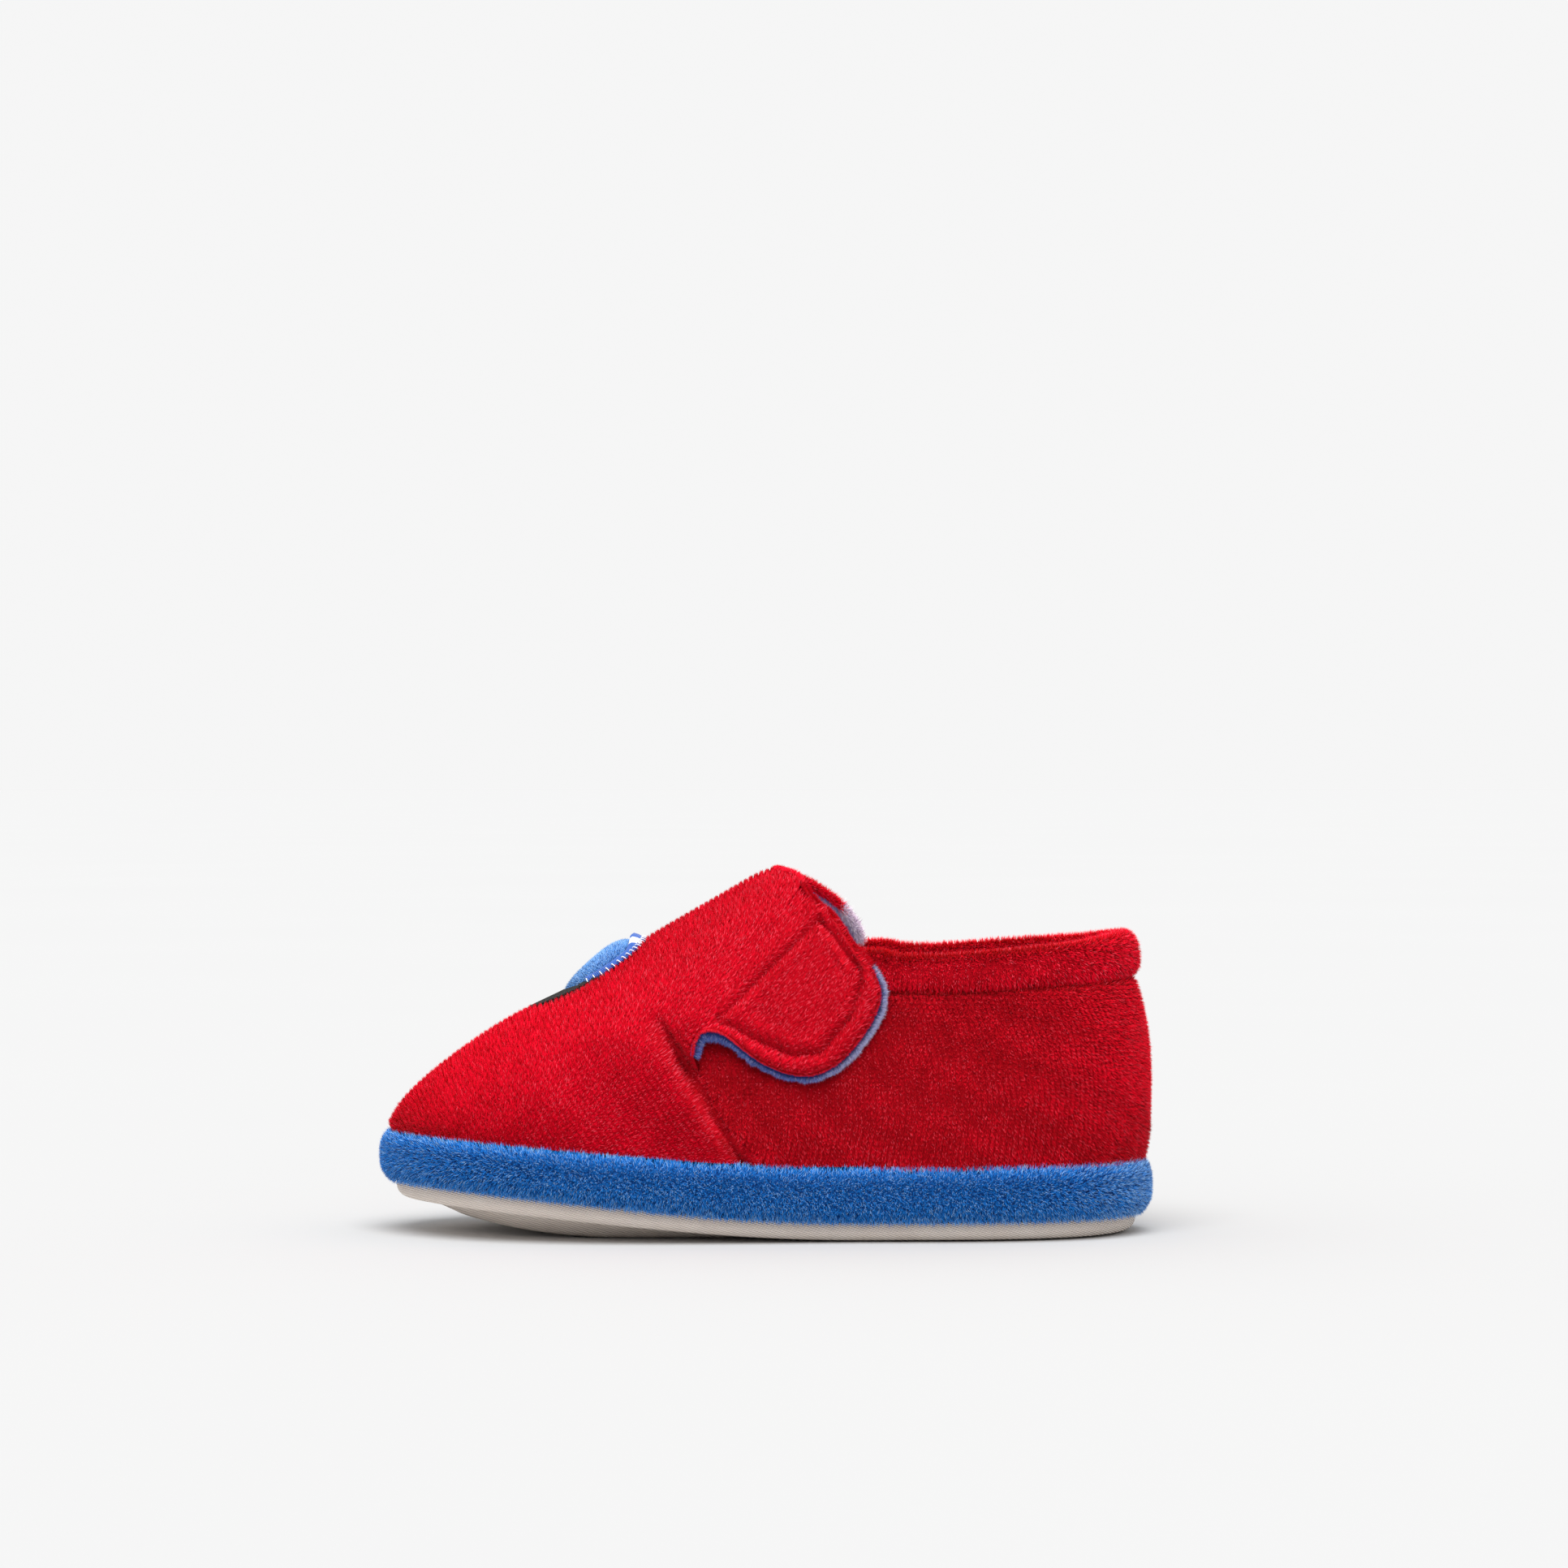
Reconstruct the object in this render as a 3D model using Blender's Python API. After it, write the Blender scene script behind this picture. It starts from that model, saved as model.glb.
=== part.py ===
"""Child's plush house slipper for the left foot, closed by a tab over the instep.

It stands on its sole: +Z up, toe towards -X, heel towards +X, outer side of the
foot towards -Y. The origin is on the floor, under the middle of the slipper.

Every size below is in millimetres. Meshes are scaled to metres as they are made.
"""

import math

import bmesh
import bpy
import numpy as np

MM = 0.001
GAP = 0.3

# Sole: a thin outsole under a thick platform that is wrapped in plush.
LENGTH = 150.0
TOE_TIP_X = -LENGTH / 2
PLATFORM_BASE = 4.0
PLATFORM_HEIGHT = 10.0
TOE_RISE = 6.2
TOE_RISE_START_X = 18.0
TOE_THINNING = 1.2
OUTSOLE_WALL = 3.7
OUTSOLE_FLAT_X = -30.0
OUTSOLE_TOE_Z = 6.2
OUTSOLE_TOE_CURVE = 1.6
INSOLE_HEIGHT = 2.6
INSOLE_CLEARANCE = 0.6
INSOLE_ROUNDING = 0.9
INSOLE_ROUNDED_FROM = 0.65
CAP_INSET = 8.0

# Edges of the sole pieces from underneath to the top, as (inset, level). The platform's
# level is 0 at its bottom and 1 at its top. The outsole's is 0 at its top, 1 at the foot
# of its wall and 2 in the middle of its underside.
PLATFORM_PROFILE = (
    (9.0, 0.0), (2.4, 0.0), (1.0, 0.1), (0.2, 0.3), (0.0, 0.55),
    (0.4, 0.82), (1.3, 0.96), (2.6, 1.0), (9.0, 1.0),
)
OUTSOLE_PROFILE = (
    (15.0, 0.0), (3.2, 0.0), (3.5, 0.55), (4.5, 0.85), (6.8, 1.0),
    (10.5, 1.35), (14.0, 1.7), (17.5, 2.0),
)

# Upper: one hollow wall, its lower edge standing on the platform.
WALL = 3.0
UPPER_INSET = 1.4
WALL_STEPS = 13
COLUMNS_PER_SECTION = 4

# Collar: a padded roll on the top edge of the quarters, fuller round the heel.
ROLL_HEIGHT = 7.4
ROLL_HEIGHT_AT_HEEL = 8.4
ROLL_THICKNESS = 6.4
ROLL_PROUD_AT_HEEL = 0.9
ROLL_UPRIGHT = 0.8
ROLL_OUTER_END = 3.4
ROLL_INNER_END = -3.2
ROLL_SECTIONS = 49
ROLL_SIDES = 12
ROLL_END_SHARE = 0.9
ROLL_END_SECTIONS = 4
ROLL_HEEL_REACH = 2.0
ROLL_SQUARENESS = 0.75

# Instep tab: runs on from the vamp and lies over the outer quarter. The vamp stands
# proud of the quarter along the seam, from the sole up to the notch under the tab.
TAB_THICKNESS = 2.8
TAB_CLEARANCE = 0.5
TAB_PROUD = TAB_CLEARANCE + TAB_THICKNESS
SEAM_AROUND = 5.17
SEAM_SLANT = 0.78
SEAM_WIDTH = 0.01
SEAM_CLEAR = 0.1
SEAM_SIDES = (2.2, 2.8)
NOTCH_UP = 0.4
VAMP_PROUD_AT_SOLE = 0.5
VAMP_FADE = 1.7

# Outline of the tab on the upper's outer form, from the vamp along its lower edge and
# round its tip, as (around, up). The first and last rows lie on the vamp and only steer
# the curve.
TAB_OUTLINE = {
    "vamp, low":       (5.45, 0.455),
    "root, low":       (5.14, 0.440),
    "lower edge":      (4.60, 0.422),
    "lower bulge":     (4.10, 0.405),
    "lower corner":    (3.72, 0.445),
    "tip, low":        (3.42, 0.575),
    "tip":             (3.20, 0.770),
    "tip, high":       (3.135, 0.930),
    "upper corner":    (3.36, 1.050),
    "over the collar": (3.85, 1.072),
    "upper edge":      (4.40, 1.046),
    "root, high":      (5.14, 1.000),
    "vamp, high":      (5.60, 0.985),
}
TAB_MIDDLE = (4.3, 0.72)
TAB_POINTS_PER_ROW = 3
TAB_ROOT_POINTS = 10

# Section of the tab from the middle of its underside round its edge to the middle of
# its top, as (share of the outline, height above the form).
TAB_PROFILE = (
    (0.2, TAB_CLEARANCE), (0.45, TAB_CLEARANCE), (0.72, TAB_CLEARANCE), (0.97, TAB_CLEARANCE),
    (1.0, TAB_CLEARANCE + 0.5), (1.0, TAB_PROUD - 0.7), (0.985, TAB_PROUD - 0.2),
    (0.95, TAB_PROUD), (0.72, TAB_PROUD), (0.45, TAB_PROUD), (0.2, TAB_PROUD),
)

# Applique on the instep: a stitched oval base and a padded round on it. The vamp dips
# under it by SEAT_DEPTH, over about the seat's half width and length.
APPLIQUE_AROUND = 8.0
SEAT_DEPTH = 1.4
SEAT_UP = 0.59
SEAT_HALF = (0.9, 0.1)
SEAT_DOWN = np.array([0.51, 0.0, -0.86])
BASE_UP = 0.607
BASE_HALF = (0.73, 0.115)
BASE_THICKNESS = 0.7
PAD_UP = 0.634
PAD_HALF = (0.58, 0.068)
PAD_HEIGHT = 2.0
APPLIQUE_SIDES = 32
BASE_TOP = GAP + BASE_THICKNESS
BASE_PROFILE = (
    (0.3, GAP), (0.65, GAP), (1.0, GAP), (1.0, BASE_TOP - 0.3),
    (0.95, BASE_TOP), (0.65, BASE_TOP), (0.3, BASE_TOP),
)
PAD_UNDERSIDE = (0.3, 0.65)
PAD_DOME_DEGREES = (0, 20, 40, 60, 78)

# The slipper in sections round its sole, from the heel along the outer side to the
# toe and back along the inner side. sole_x and sole_y are on the platform's outline.
# top_x, top_y and top_z are on the upper's top edge. The wall leaves the sole going
# up by rise and out by flare, and arrives at the top from top + (in_x, in_y, in_z).
SECTION_COLUMNS = (
    "sole_x", "sole_y", "top_x", "top_y", "top_z",
    "rise", "flare", "in_x", "in_y", "in_z",
)
SECTIONS = {
    "heel":              (75.0,    0.0, 71.7,   0.0, 50.4, 12.5, 2.2,   3.9,  0.0, -10.4),
    "outer heel corner": (65.0,  -19.5, 62.6, -15.8, 49.6, 12.5, 2.3,   2.6, -2.6, -10.5),
    "outer heel":        (43.0,  -27.5, 43.5, -22.4, 48.6, 12.0, 2.0,   0.0, -3.4, -11.0),
    "outer waist":       (20.0,  -28.6, 24.0, -22.6, 48.3, 12.0, 1.8,  -1.0, -4.0, -11.0),
    "outer throat":      (2.0,   -30.0, 14.5, -19.0, 55.0, 14.0, 1.6,  -4.0, -6.0, -13.0),
    "outer joint":       (-16.0, -31.5,  8.5, -13.0, 65.0, 16.0, 1.2,  -9.0, -8.0, -13.0),
    "outer ball":        (-38.0, -31.0,  4.0,  -7.5, 69.6, 16.0, 1.0, -14.0, -9.0, -11.0),
    "outer toe corner":  (-61.0, -21.5,  1.8,  -3.4, 71.0, 13.0, 1.0, -20.0, -5.0, -12.0),
    "toe":               (-75.0,   2.0,  1.0,   0.0, 71.2, 12.0, 0.6, -24.0,  0.0, -14.7),
    "inner toe corner":  (-63.0,  23.2,  2.4,   3.4, 71.0, 13.0, 1.0, -20.0,  5.0, -12.0),
    "inner ball":        (-41.0,  31.75,  6.0,   7.5, 69.0, 16.0, 1.0, -14.0,  9.0, -11.0),
    "inner joint":       (-18.0,  29.6, 12.6,  12.6, 64.6, 16.0, 1.2, -10.0,  8.0, -13.0),
    "inner throat":      (2.0,    26.6, 18.4,  17.2, 57.4, 14.0, 1.6,  -5.0,  6.0, -13.0),
    "inner waist":       (20.0,   25.6, 23.6,  20.8, 48.8, 12.0, 1.8,  -1.0,  4.0, -11.0),
    "inner heel":        (43.0,   25.8, 43.5,  21.8, 48.6, 12.0, 2.0,   0.0,  3.4, -11.0),
    "inner heel corner": (65.0,   18.6, 62.6,  15.4, 49.6, 12.5, 2.3,   2.6,  2.6, -10.5),
}
SECTION_ROWS = np.array(list(SECTIONS.values()))
AROUND = len(SECTIONS)


def smooth(share):
    """0 below 0, 1 above 1, and an even S-curve between."""
    share = np.clip(share, 0.0, 1.0)
    return share * share * (3.0 - 2.0 * share)


def closed_curve(rows, around):
    """Points at places `around` on a smooth closed curve that meets row i at place i."""
    count = len(rows)
    spread = 4.0 * np.eye(count) + np.roll(np.eye(count), 1, 0) + np.roll(np.eye(count), -1, 0)
    slopes = np.linalg.solve(spread, 3.0 * (np.roll(rows, -1, 0) - np.roll(rows, 1, 0)))
    start = np.floor(around).astype(int)
    share = (around - start)[..., None]
    here, there = start % count, (start + 1) % count
    return (
        rows[here] * (1 + 2 * share) * (1 - share) ** 2
        + slopes[here] * share * (1 - share) ** 2
        + rows[there] * share**2 * (3 - 2 * share)
        + slopes[there] * share**2 * (share - 1)
    )


def section(around):
    """The named columns of SECTIONS at places `around`, each as an array."""
    values = closed_curve(SECTION_ROWS, np.asarray(around, float))
    return {name: values[..., i] for i, name in enumerate(SECTION_COLUMNS)}


def sole_outline(around, inset=0.0):
    """(x, y) on the platform's outline, taken in by inset, and the outward direction."""
    step = 1e-3
    here, behind, ahead = (section(around + d) for d in (0.0, -step, step))
    along_x = ahead["sole_x"] - behind["sole_x"]
    along_y = ahead["sole_y"] - behind["sole_y"]
    length = np.hypot(along_x, along_y)
    out_x, out_y = -along_y / length, along_x / length
    return here["sole_x"] - inset * out_x, here["sole_y"] - inset * out_y, out_x, out_y


def toe_share(x):
    """0 behind the ball of the foot, growing to 1 at the toe."""
    return smooth((TOE_RISE_START_X - x) / (TOE_RISE_START_X - TOE_TIP_X))


def platform_bottom(x):
    return PLATFORM_BASE + TOE_RISE * toe_share(x)


def platform_top(x):
    return platform_bottom(x) + PLATFORM_HEIGHT - TOE_THINNING * toe_share(x)


def outsole_keel(x):
    """Height of the outsole's lowest line: flat on the floor, then up to the toe."""
    share = np.clip((OUTSOLE_FLAT_X - x) / (OUTSOLE_FLAT_X - TOE_TIP_X), 0.0, 1.0)
    return OUTSOLE_TOE_Z * share**OUTSOLE_TOE_CURVE


def last_surface(around, up):
    """Points of the upper's outer form: up is 0 at the sole and 1 at the top edge."""
    around, up = np.broadcast_arrays(np.asarray(around, float), np.asarray(up, float))
    row = section(around)
    x, y, out_x, out_y = sole_outline(around, UPPER_INSET)
    foot = np.stack([x, y, platform_top(x) + GAP], -1)
    top = np.stack([row["top_x"], row["top_y"], row["top_z"]], -1)
    leave = foot + np.stack([row["flare"] * out_x, row["flare"] * out_y, row["rise"]], -1)
    arrive = top + np.stack([row["in_x"], row["in_y"], row["in_z"]], -1)
    share = np.minimum(up, 1.0)[..., None]
    rest = 1.0 - share
    points = (
        foot * rest**3 + 3 * leave * share * rest**2 + 3 * arrive * share**2 * rest + top * share**3
    )
    beyond = np.maximum(up - 1.0, 0.0)[..., None]
    across = (around - APPLIQUE_AROUND) / SEAT_HALF[0]
    along = (up - SEAT_UP) / SEAT_HALF[1]
    seat = SEAT_DEPTH * np.exp(-(across**2) - along**2)[..., None]
    return points + beyond * 3.0 * (top - arrive) + seat * SEAT_DOWN


def unit(vectors):
    return vectors / np.linalg.norm(vectors, axis=-1, keepdims=True)


def last_frame(around, up):
    """(point, direction round the shoe, direction up the wall, outward normal)."""
    step = 1e-3
    around, up = np.broadcast_arrays(np.asarray(around, float), np.asarray(up, float))
    point = last_surface(around, up)
    onward = unit(last_surface(around + step, up) - last_surface(around - step, up))
    upward = unit(last_surface(around, up + step) - last_surface(around, up - step))
    return point, onward, upward, unit(np.cross(upward, onward))


def loft(name, rings, material, closed=False):
    """A closed solid through rings of points. Open lofts are capped by rungs across."""
    rings = np.asarray(rings) * MM
    count, sides = rings.shape[:2]
    faces = []
    for ring in range(count if closed else count - 1):
        here, there = ring * sides, (ring + 1) % count * sides
        for side in range(sides):
            after = (side + 1) % sides
            faces.append((here + side, here + after, there + after, there + side))
    if not closed:
        for start, turned in ((0, True), ((count - 1) * sides, False)):
            for side in range(sides // 2):
                rung = [side, side + 1, sides - 1 - side, (sides - side) % sides]
                rung = [start + corner for corner in dict.fromkeys(rung)]
                if len(rung) > 2:
                    faces.append(tuple(reversed(rung)) if turned else tuple(rung))
    mesh = bpy.data.meshes.new(name)
    mesh.from_pydata(rings.reshape(-1, 3).tolist(), [], faces)
    shape = bmesh.new()
    shape.from_mesh(mesh)
    bmesh.ops.recalc_face_normals(shape, faces=shape.faces)
    shape.to_mesh(mesh)
    shape.free()
    mesh.materials.append(material)
    mesh.shade_smooth()
    mesh.set_sharp_from_angle(angle=math.radians(50))
    solid = bpy.data.objects.new(name, mesh)
    PARTS.objects.link(solid)
    return solid


def surface_material(name, colour, roughness, sheen=0.0):
    material = bpy.data.materials.new(name)
    material.use_nodes = True
    shader = material.node_tree.nodes["Principled BSDF"]
    shader.inputs["Base Color"].default_value = (*colour, 1.0)
    shader.inputs["Roughness"].default_value = roughness
    shader.inputs["Sheen Weight"].default_value = sheen
    return material


def sole_loops(layers, height):
    """Rings for a sole piece: height(x, level) places each (inset, level) layer."""
    around = np.arange(0, AROUND, 1 / COLUMNS_PER_SECTION)
    rings = []
    for inset, level in layers:
        x, y, _, _ = sole_outline(around, inset)
        rings.append(np.stack([x, y, height(x, level)], -1))
    return rings


def make_platform():
    """Foam platform in its plush wrap, the edge crowned as the wrap pulls round it."""

    def height(x, level):
        return platform_bottom(x) * (1 - level) + platform_top(x) * level

    rings = sole_loops(PLATFORM_PROFILE, height)
    return loft("platform", rings, surface_material("blue plush", (0.02, 0.10, 0.42), 0.9, 0.4))


def make_outsole():
    """Outsole with a low wall, its underside flat on the floor and crowned at the toe."""

    def height(x, level):
        top = platform_bottom(x) - GAP
        edge = np.maximum(top - OUTSOLE_WALL, outsole_keel(x))
        wall = top + (edge - top) * min(level, 1.0)
        return wall + (outsole_keel(x) - edge) * smooth(level - 1.0)

    rings = sole_loops(OUTSOLE_PROFILE, height)
    return loft("outsole", rings, surface_material("cream rubber", (0.55, 0.50, 0.47), 0.7))


def make_insole():
    """Soft footbed lying on the platform inside the upper."""
    edge = UPPER_INSET + WALL + INSOLE_CLEARANCE
    profile = (
        (edge + CAP_INSET, 0.0), (edge, 0.0), (edge, INSOLE_ROUNDED_FROM),
        (edge + INSOLE_ROUNDING, 1.0), (edge + CAP_INSET, 1.0),
    )

    def height(x, level):
        return platform_top(x) + GAP + INSOLE_HEIGHT * level

    rings = sole_loops(profile, height)
    return loft("insole", rings, surface_material("blue lining", (0.10, 0.16, 0.45), 0.95, 0.3))


def seam_columns():
    """Columns round the upper, with a close pair where the vamp ends on the quarter."""
    even = np.arange(0, AROUND, 1 / COLUMNS_PER_SECTION)
    clear = even[np.abs(even - SEAM_AROUND) > SEAM_CLEAR]
    return np.sort(np.append(clear, [SEAM_AROUND - SEAM_WIDTH, SEAM_AROUND]))


def seam_place(column, up):
    """Place round the upper of a column that leans with the seam below the notch."""
    behind, ahead = SEAM_SIDES
    reach = np.where(column < SEAM_AROUND, behind, ahead)
    near = smooth(1.0 - np.abs(column - SEAM_AROUND) / reach)
    return column - SEAM_SLANT * near * np.clip(1.0 - up / NOTCH_UP, 0.0, 1.0)


def vamp_proud(column, up):
    """How far the vamp stands out from the form: most beside the tab, none at the ridge."""
    height = VAMP_PROUD_AT_SOLE + (TAB_PROUD - VAMP_PROUD_AT_SOLE) * smooth(up / NOTCH_UP)
    fade = smooth(1.0 - (column - SEAM_AROUND) / VAMP_FADE)
    return np.where(column < SEAM_AROUND, 0.0, height * fade)


def make_upper():
    """Vamp and quarters in one hollow wall, open underneath and at the collar."""
    column, up = np.meshgrid(seam_columns(), np.linspace(0, 1, WALL_STEPS), indexing="ij")
    point, _, _, normal = last_frame(seam_place(column, up), up)
    outside = point + normal * vamp_proud(column, up)[..., None]
    inside = point - normal * WALL
    wall = np.concatenate([outside, inside[:, ::-1]], axis=1)
    material = surface_material("red plush", (0.55, 0.005, 0.02), 0.9, 0.4)
    return loft("upper", wall, material, closed=True)


def make_collar():
    """Padded roll on the quarters, from under the tab round the heel to the inner side."""
    around = np.linspace(ROLL_OUTER_END, ROLL_INNER_END, ROLL_SECTIONS)
    point, onward, upward, _ = last_frame(around, 1.0)
    upright = unit(upward + ROLL_UPRIGHT * np.array([0.0, 0.0, 1.0]))
    outward = unit(np.cross(upright, onward))
    heel = smooth(1.0 - np.abs(around) / ROLL_HEEL_REACH)
    place = np.arange(ROLL_SECTIONS)
    to_end = np.minimum(place, place[::-1])
    full = ROLL_END_SHARE + (1.0 - ROLL_END_SHARE) * smooth(to_end / ROLL_END_SECTIONS)
    half_height = full * (ROLL_HEIGHT + (ROLL_HEIGHT_AT_HEEL - ROLL_HEIGHT) * heel) / 2
    half_thickness = full * ROLL_THICKNESS / 2
    middle = (
        point
        + upright * (GAP + half_height)[:, None]
        + outward * (ROLL_PROUD_AT_HEEL * heel - ROLL_THICKNESS / 2)[:, None]
    )
    turn = np.linspace(0, 2 * math.pi, ROLL_SIDES, endpoint=False)
    across, along = (
        np.sign(side) * np.abs(side) ** ROLL_SQUARENESS for side in (np.cos(turn), np.sin(turn))
    )
    rings = (
        middle[:, None]
        + outward[:, None] * (half_thickness[:, None] * across)[..., None]
        + upright[:, None] * (half_height[:, None] * along)[..., None]
    )
    return loft("collar", rings, surface_material("red plush roll", (0.55, 0.005, 0.02), 0.9, 0.4))


def tab_outline():
    """Places (around, up) on the tab's edge, closed by a straight line at its root."""
    rows = np.array(list(TAB_OUTLINE.values()))
    first, last = 1, len(rows) - 2
    free = closed_curve(rows, np.arange(first, last + 1e-6, 1 / TAB_POINTS_PER_ROW))
    root = np.linspace(rows[last], rows[first], TAB_ROOT_POINTS + 1, endpoint=False)[1:]
    return np.concatenate([free, root])


def overlay(name, outline, middle, layers, material):
    """A piece lying on the upper: each layer is (share of the outline, height above it)."""
    middle = np.array(middle)
    rings = []
    for share, height in layers:
        around, up = (middle + share * (outline - middle)).T
        point, _, _, normal = last_frame(around, up)
        rings.append(point + normal * height)
    return loft(name, rings, material)


def make_tab():
    """Instep tab: lining underneath, its edge turned over, level with the vamp at its root."""
    material = surface_material("red plush tab", (0.55, 0.005, 0.02), 0.9, 0.4)
    return overlay("tab", tab_outline(), TAB_MIDDLE, TAB_PROFILE, material)


def oval(middle, half):
    turn = np.linspace(0, 2 * math.pi, APPLIQUE_SIDES, endpoint=False)
    return np.stack([middle[0] + half[0] * np.cos(turn), middle[1] + half[1] * np.sin(turn)], -1)


def make_applique():
    """Stitched oval base on the instep, and the padded round sewn on it."""
    middle = (APPLIQUE_AROUND, BASE_UP)
    material = surface_material("satin stitches", (0.08, 0.10, 0.25), 0.5)
    overlay("applique_base", oval(middle, BASE_HALF), middle, BASE_PROFILE, material)
    middle = (APPLIQUE_AROUND, PAD_UP)
    low = BASE_TOP + GAP
    lean = np.radians(PAD_DOME_DEGREES)
    dome = list(zip(np.cos(lean), low + PAD_HEIGHT * np.sin(lean)))
    profile = [(share, low) for share in PAD_UNDERSIDE] + dome
    material = surface_material("blue plush pad", (0.03, 0.16, 0.55), 0.9, 0.4)
    overlay("applique_pad", oval(middle, PAD_HALF), middle, profile, material)


for leftover in list(bpy.data.objects):
    bpy.data.objects.remove(leftover)
PARTS = bpy.data.collections.new("plush slipper")
bpy.context.scene.collection.children.link(PARTS)

make_outsole()
make_platform()
make_insole()
make_upper()
make_collar()
make_tab()
make_applique()
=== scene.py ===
"""Child's plush house slipper, dressed for a studio photograph.

Sizes are in millimetres in the slipper's own frame, toe towards -X, outer side towards -Y.
Meshes are scaled to metres as they are made.
"""

import math

import bpy
import numpy as np
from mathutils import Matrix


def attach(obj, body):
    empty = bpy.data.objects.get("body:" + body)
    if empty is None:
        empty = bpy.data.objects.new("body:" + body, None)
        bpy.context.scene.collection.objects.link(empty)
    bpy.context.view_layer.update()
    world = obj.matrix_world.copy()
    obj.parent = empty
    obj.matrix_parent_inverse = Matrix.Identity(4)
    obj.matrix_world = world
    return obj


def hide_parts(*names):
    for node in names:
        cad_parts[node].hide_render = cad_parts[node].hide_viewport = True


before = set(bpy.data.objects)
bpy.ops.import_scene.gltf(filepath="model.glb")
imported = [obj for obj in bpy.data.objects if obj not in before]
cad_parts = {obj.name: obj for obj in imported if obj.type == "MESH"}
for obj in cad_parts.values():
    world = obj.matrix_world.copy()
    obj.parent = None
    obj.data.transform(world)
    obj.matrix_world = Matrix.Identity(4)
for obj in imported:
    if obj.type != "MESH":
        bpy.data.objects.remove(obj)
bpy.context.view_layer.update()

MM = 0.001
GAP = 0.3

# The form: sole, upper, collar roll, instep tab and applique. Most sizes are those of the solids.
LENGTH = 150.0
TOE_TIP_X = -LENGTH / 2
PLATFORM_BASE = 4.0
PLATFORM_HEIGHT = 10.0
TOE_RISE = 6.2
TOE_RISE_START_X = 18.0
TOE_THINNING = 1.2
OUTSOLE_WALL = 3.7
OUTSOLE_FLAT_X = -30.0
OUTSOLE_TOE_Z = 6.2
INSOLE_HEIGHT = 2.6
WALL = 3.0
LINING_DEPTH = WALL - 0.7
UPPER_INSET = 1.4
ROLL_HEIGHT = 7.4
ROLL_HEIGHT_AT_HEEL = 8.4
ROLL_THICKNESS = 6.4
ROLL_PROUD_AT_HEEL = 0.9
ROLL_UPRIGHT = 0.8
ROLL_OUTER_END = 3.4
ROLL_INNER_END = -3.2
ROLL_LEVEL_OUTER = 3.2
ROLL_LEVEL_INNER = -3.0
ROLL_OUTER_TUCK = np.array([-0.95, 0.30, 0.0])
ROLL_INNER_TUCK = np.array([-0.95, -0.30, 0.06])
ROLL_SINK = 0.4
ROLL_FULLER = 0.8
TAB_THICKNESS = 2.8
TAB_CLEARANCE = 0.5
TAB_PROUD = TAB_CLEARANCE + TAB_THICKNESS
SEAM_AROUND = 5.17
NOTCH_UP = 0.4
VAMP_PROUD_AT_SOLE = 0.5
VAMP_FADE = 1.7
TAB_MIDDLE = (4.3, 0.72)
TAB_RED_SHARE = 0.975
TAB_HIGHEST = 1.1
TAB_ROOT_HIGHEST = 0.95
APPLIQUE_AROUND = 8.0
SEAT_DEPTH = 1.4
SEAT_UP = 0.59
SEAT_HALF = (0.9, 0.1)
SEAT_DOWN = np.array([0.51, 0.0, -0.86])
BASE_UP = 0.607
BASE_HALF = (0.73, 0.115)
BASE_THICKNESS = 0.7
BASE_SINK = 1.0
BASE_TOP = GAP + BASE_THICKNESS - BASE_SINK
PAD_UP = 0.634
PAD_HALF = (0.58, 0.068)
PAD_FULL = 2.3
PAD_PILE = 0.4

SECTION_COLUMNS = (
    "sole_x", "sole_y", "top_x", "top_y", "top_z",
    "rise", "flare", "in_x", "in_y", "in_z",
)
SECTIONS = {
    "heel":              (75.0,    0.0, 71.7,   0.0, 50.4, 12.5, 2.2,   3.9,  0.0, -10.4),
    "outer heel corner": (65.0,  -19.5, 62.6, -15.8, 49.6, 12.5, 2.3,   2.6, -2.6, -10.5),
    "outer heel":        (43.0,  -27.5, 43.5, -22.4, 48.6, 12.0, 2.0,   0.0, -3.4, -11.0),
    "outer waist":       (20.0,  -28.6, 24.0, -22.6, 48.3, 12.0, 1.8,  -1.0, -4.0, -11.0),
    "outer throat":      (2.0,   -30.0, 14.5, -19.0, 55.0, 14.0, 1.6,  -4.0, -6.0, -13.0),
    "outer joint":       (-16.0, -31.5,  8.5, -13.0, 65.0, 16.0, 1.2,  -9.0, -8.0, -13.0),
    "outer ball":        (-38.0, -31.0,  4.0,  -7.5, 69.6, 16.0, 1.0, -14.0, -9.0, -11.0),
    "outer toe corner":  (-61.0, -21.5,  1.8,  -3.4, 71.0, 13.0, 1.0, -20.0, -5.0, -12.0),
    "toe":               (-75.0,   2.0,  1.0,   0.0, 71.2, 12.0, 0.6, -24.0,  0.0, -14.7),
    "inner toe corner":  (-63.0,  23.2,  2.4,   3.4, 71.0, 13.0, 1.0, -20.0,  5.0, -12.0),
    "inner ball":        (-41.0,  31.75, 6.0,   7.5, 69.0, 16.0, 1.0, -14.0,  9.0, -11.0),
    "inner joint":       (-18.0,  29.6, 12.6,  12.6, 64.6, 16.0, 1.2, -10.0,  8.0, -13.0),
    "inner throat":      (2.0,    26.6, 18.4,  17.2, 57.4, 14.0, 1.6,  -5.0,  6.0, -13.0),
    "inner waist":       (20.0,   25.6, 23.6,  20.8, 48.8, 12.0, 1.8,  -1.0,  4.0, -11.0),
    "inner heel":        (43.0,   25.8, 43.5,  21.8, 48.6, 12.0, 2.0,   0.0,  3.4, -11.0),
    "inner heel corner": (65.0,   18.6, 62.6,  15.4, 49.6, 12.5, 2.3,   2.6,  2.6, -10.5),
}
SECTION_ROWS = np.array(list(SECTIONS.values()))
AROUND = len(SECTIONS)

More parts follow.
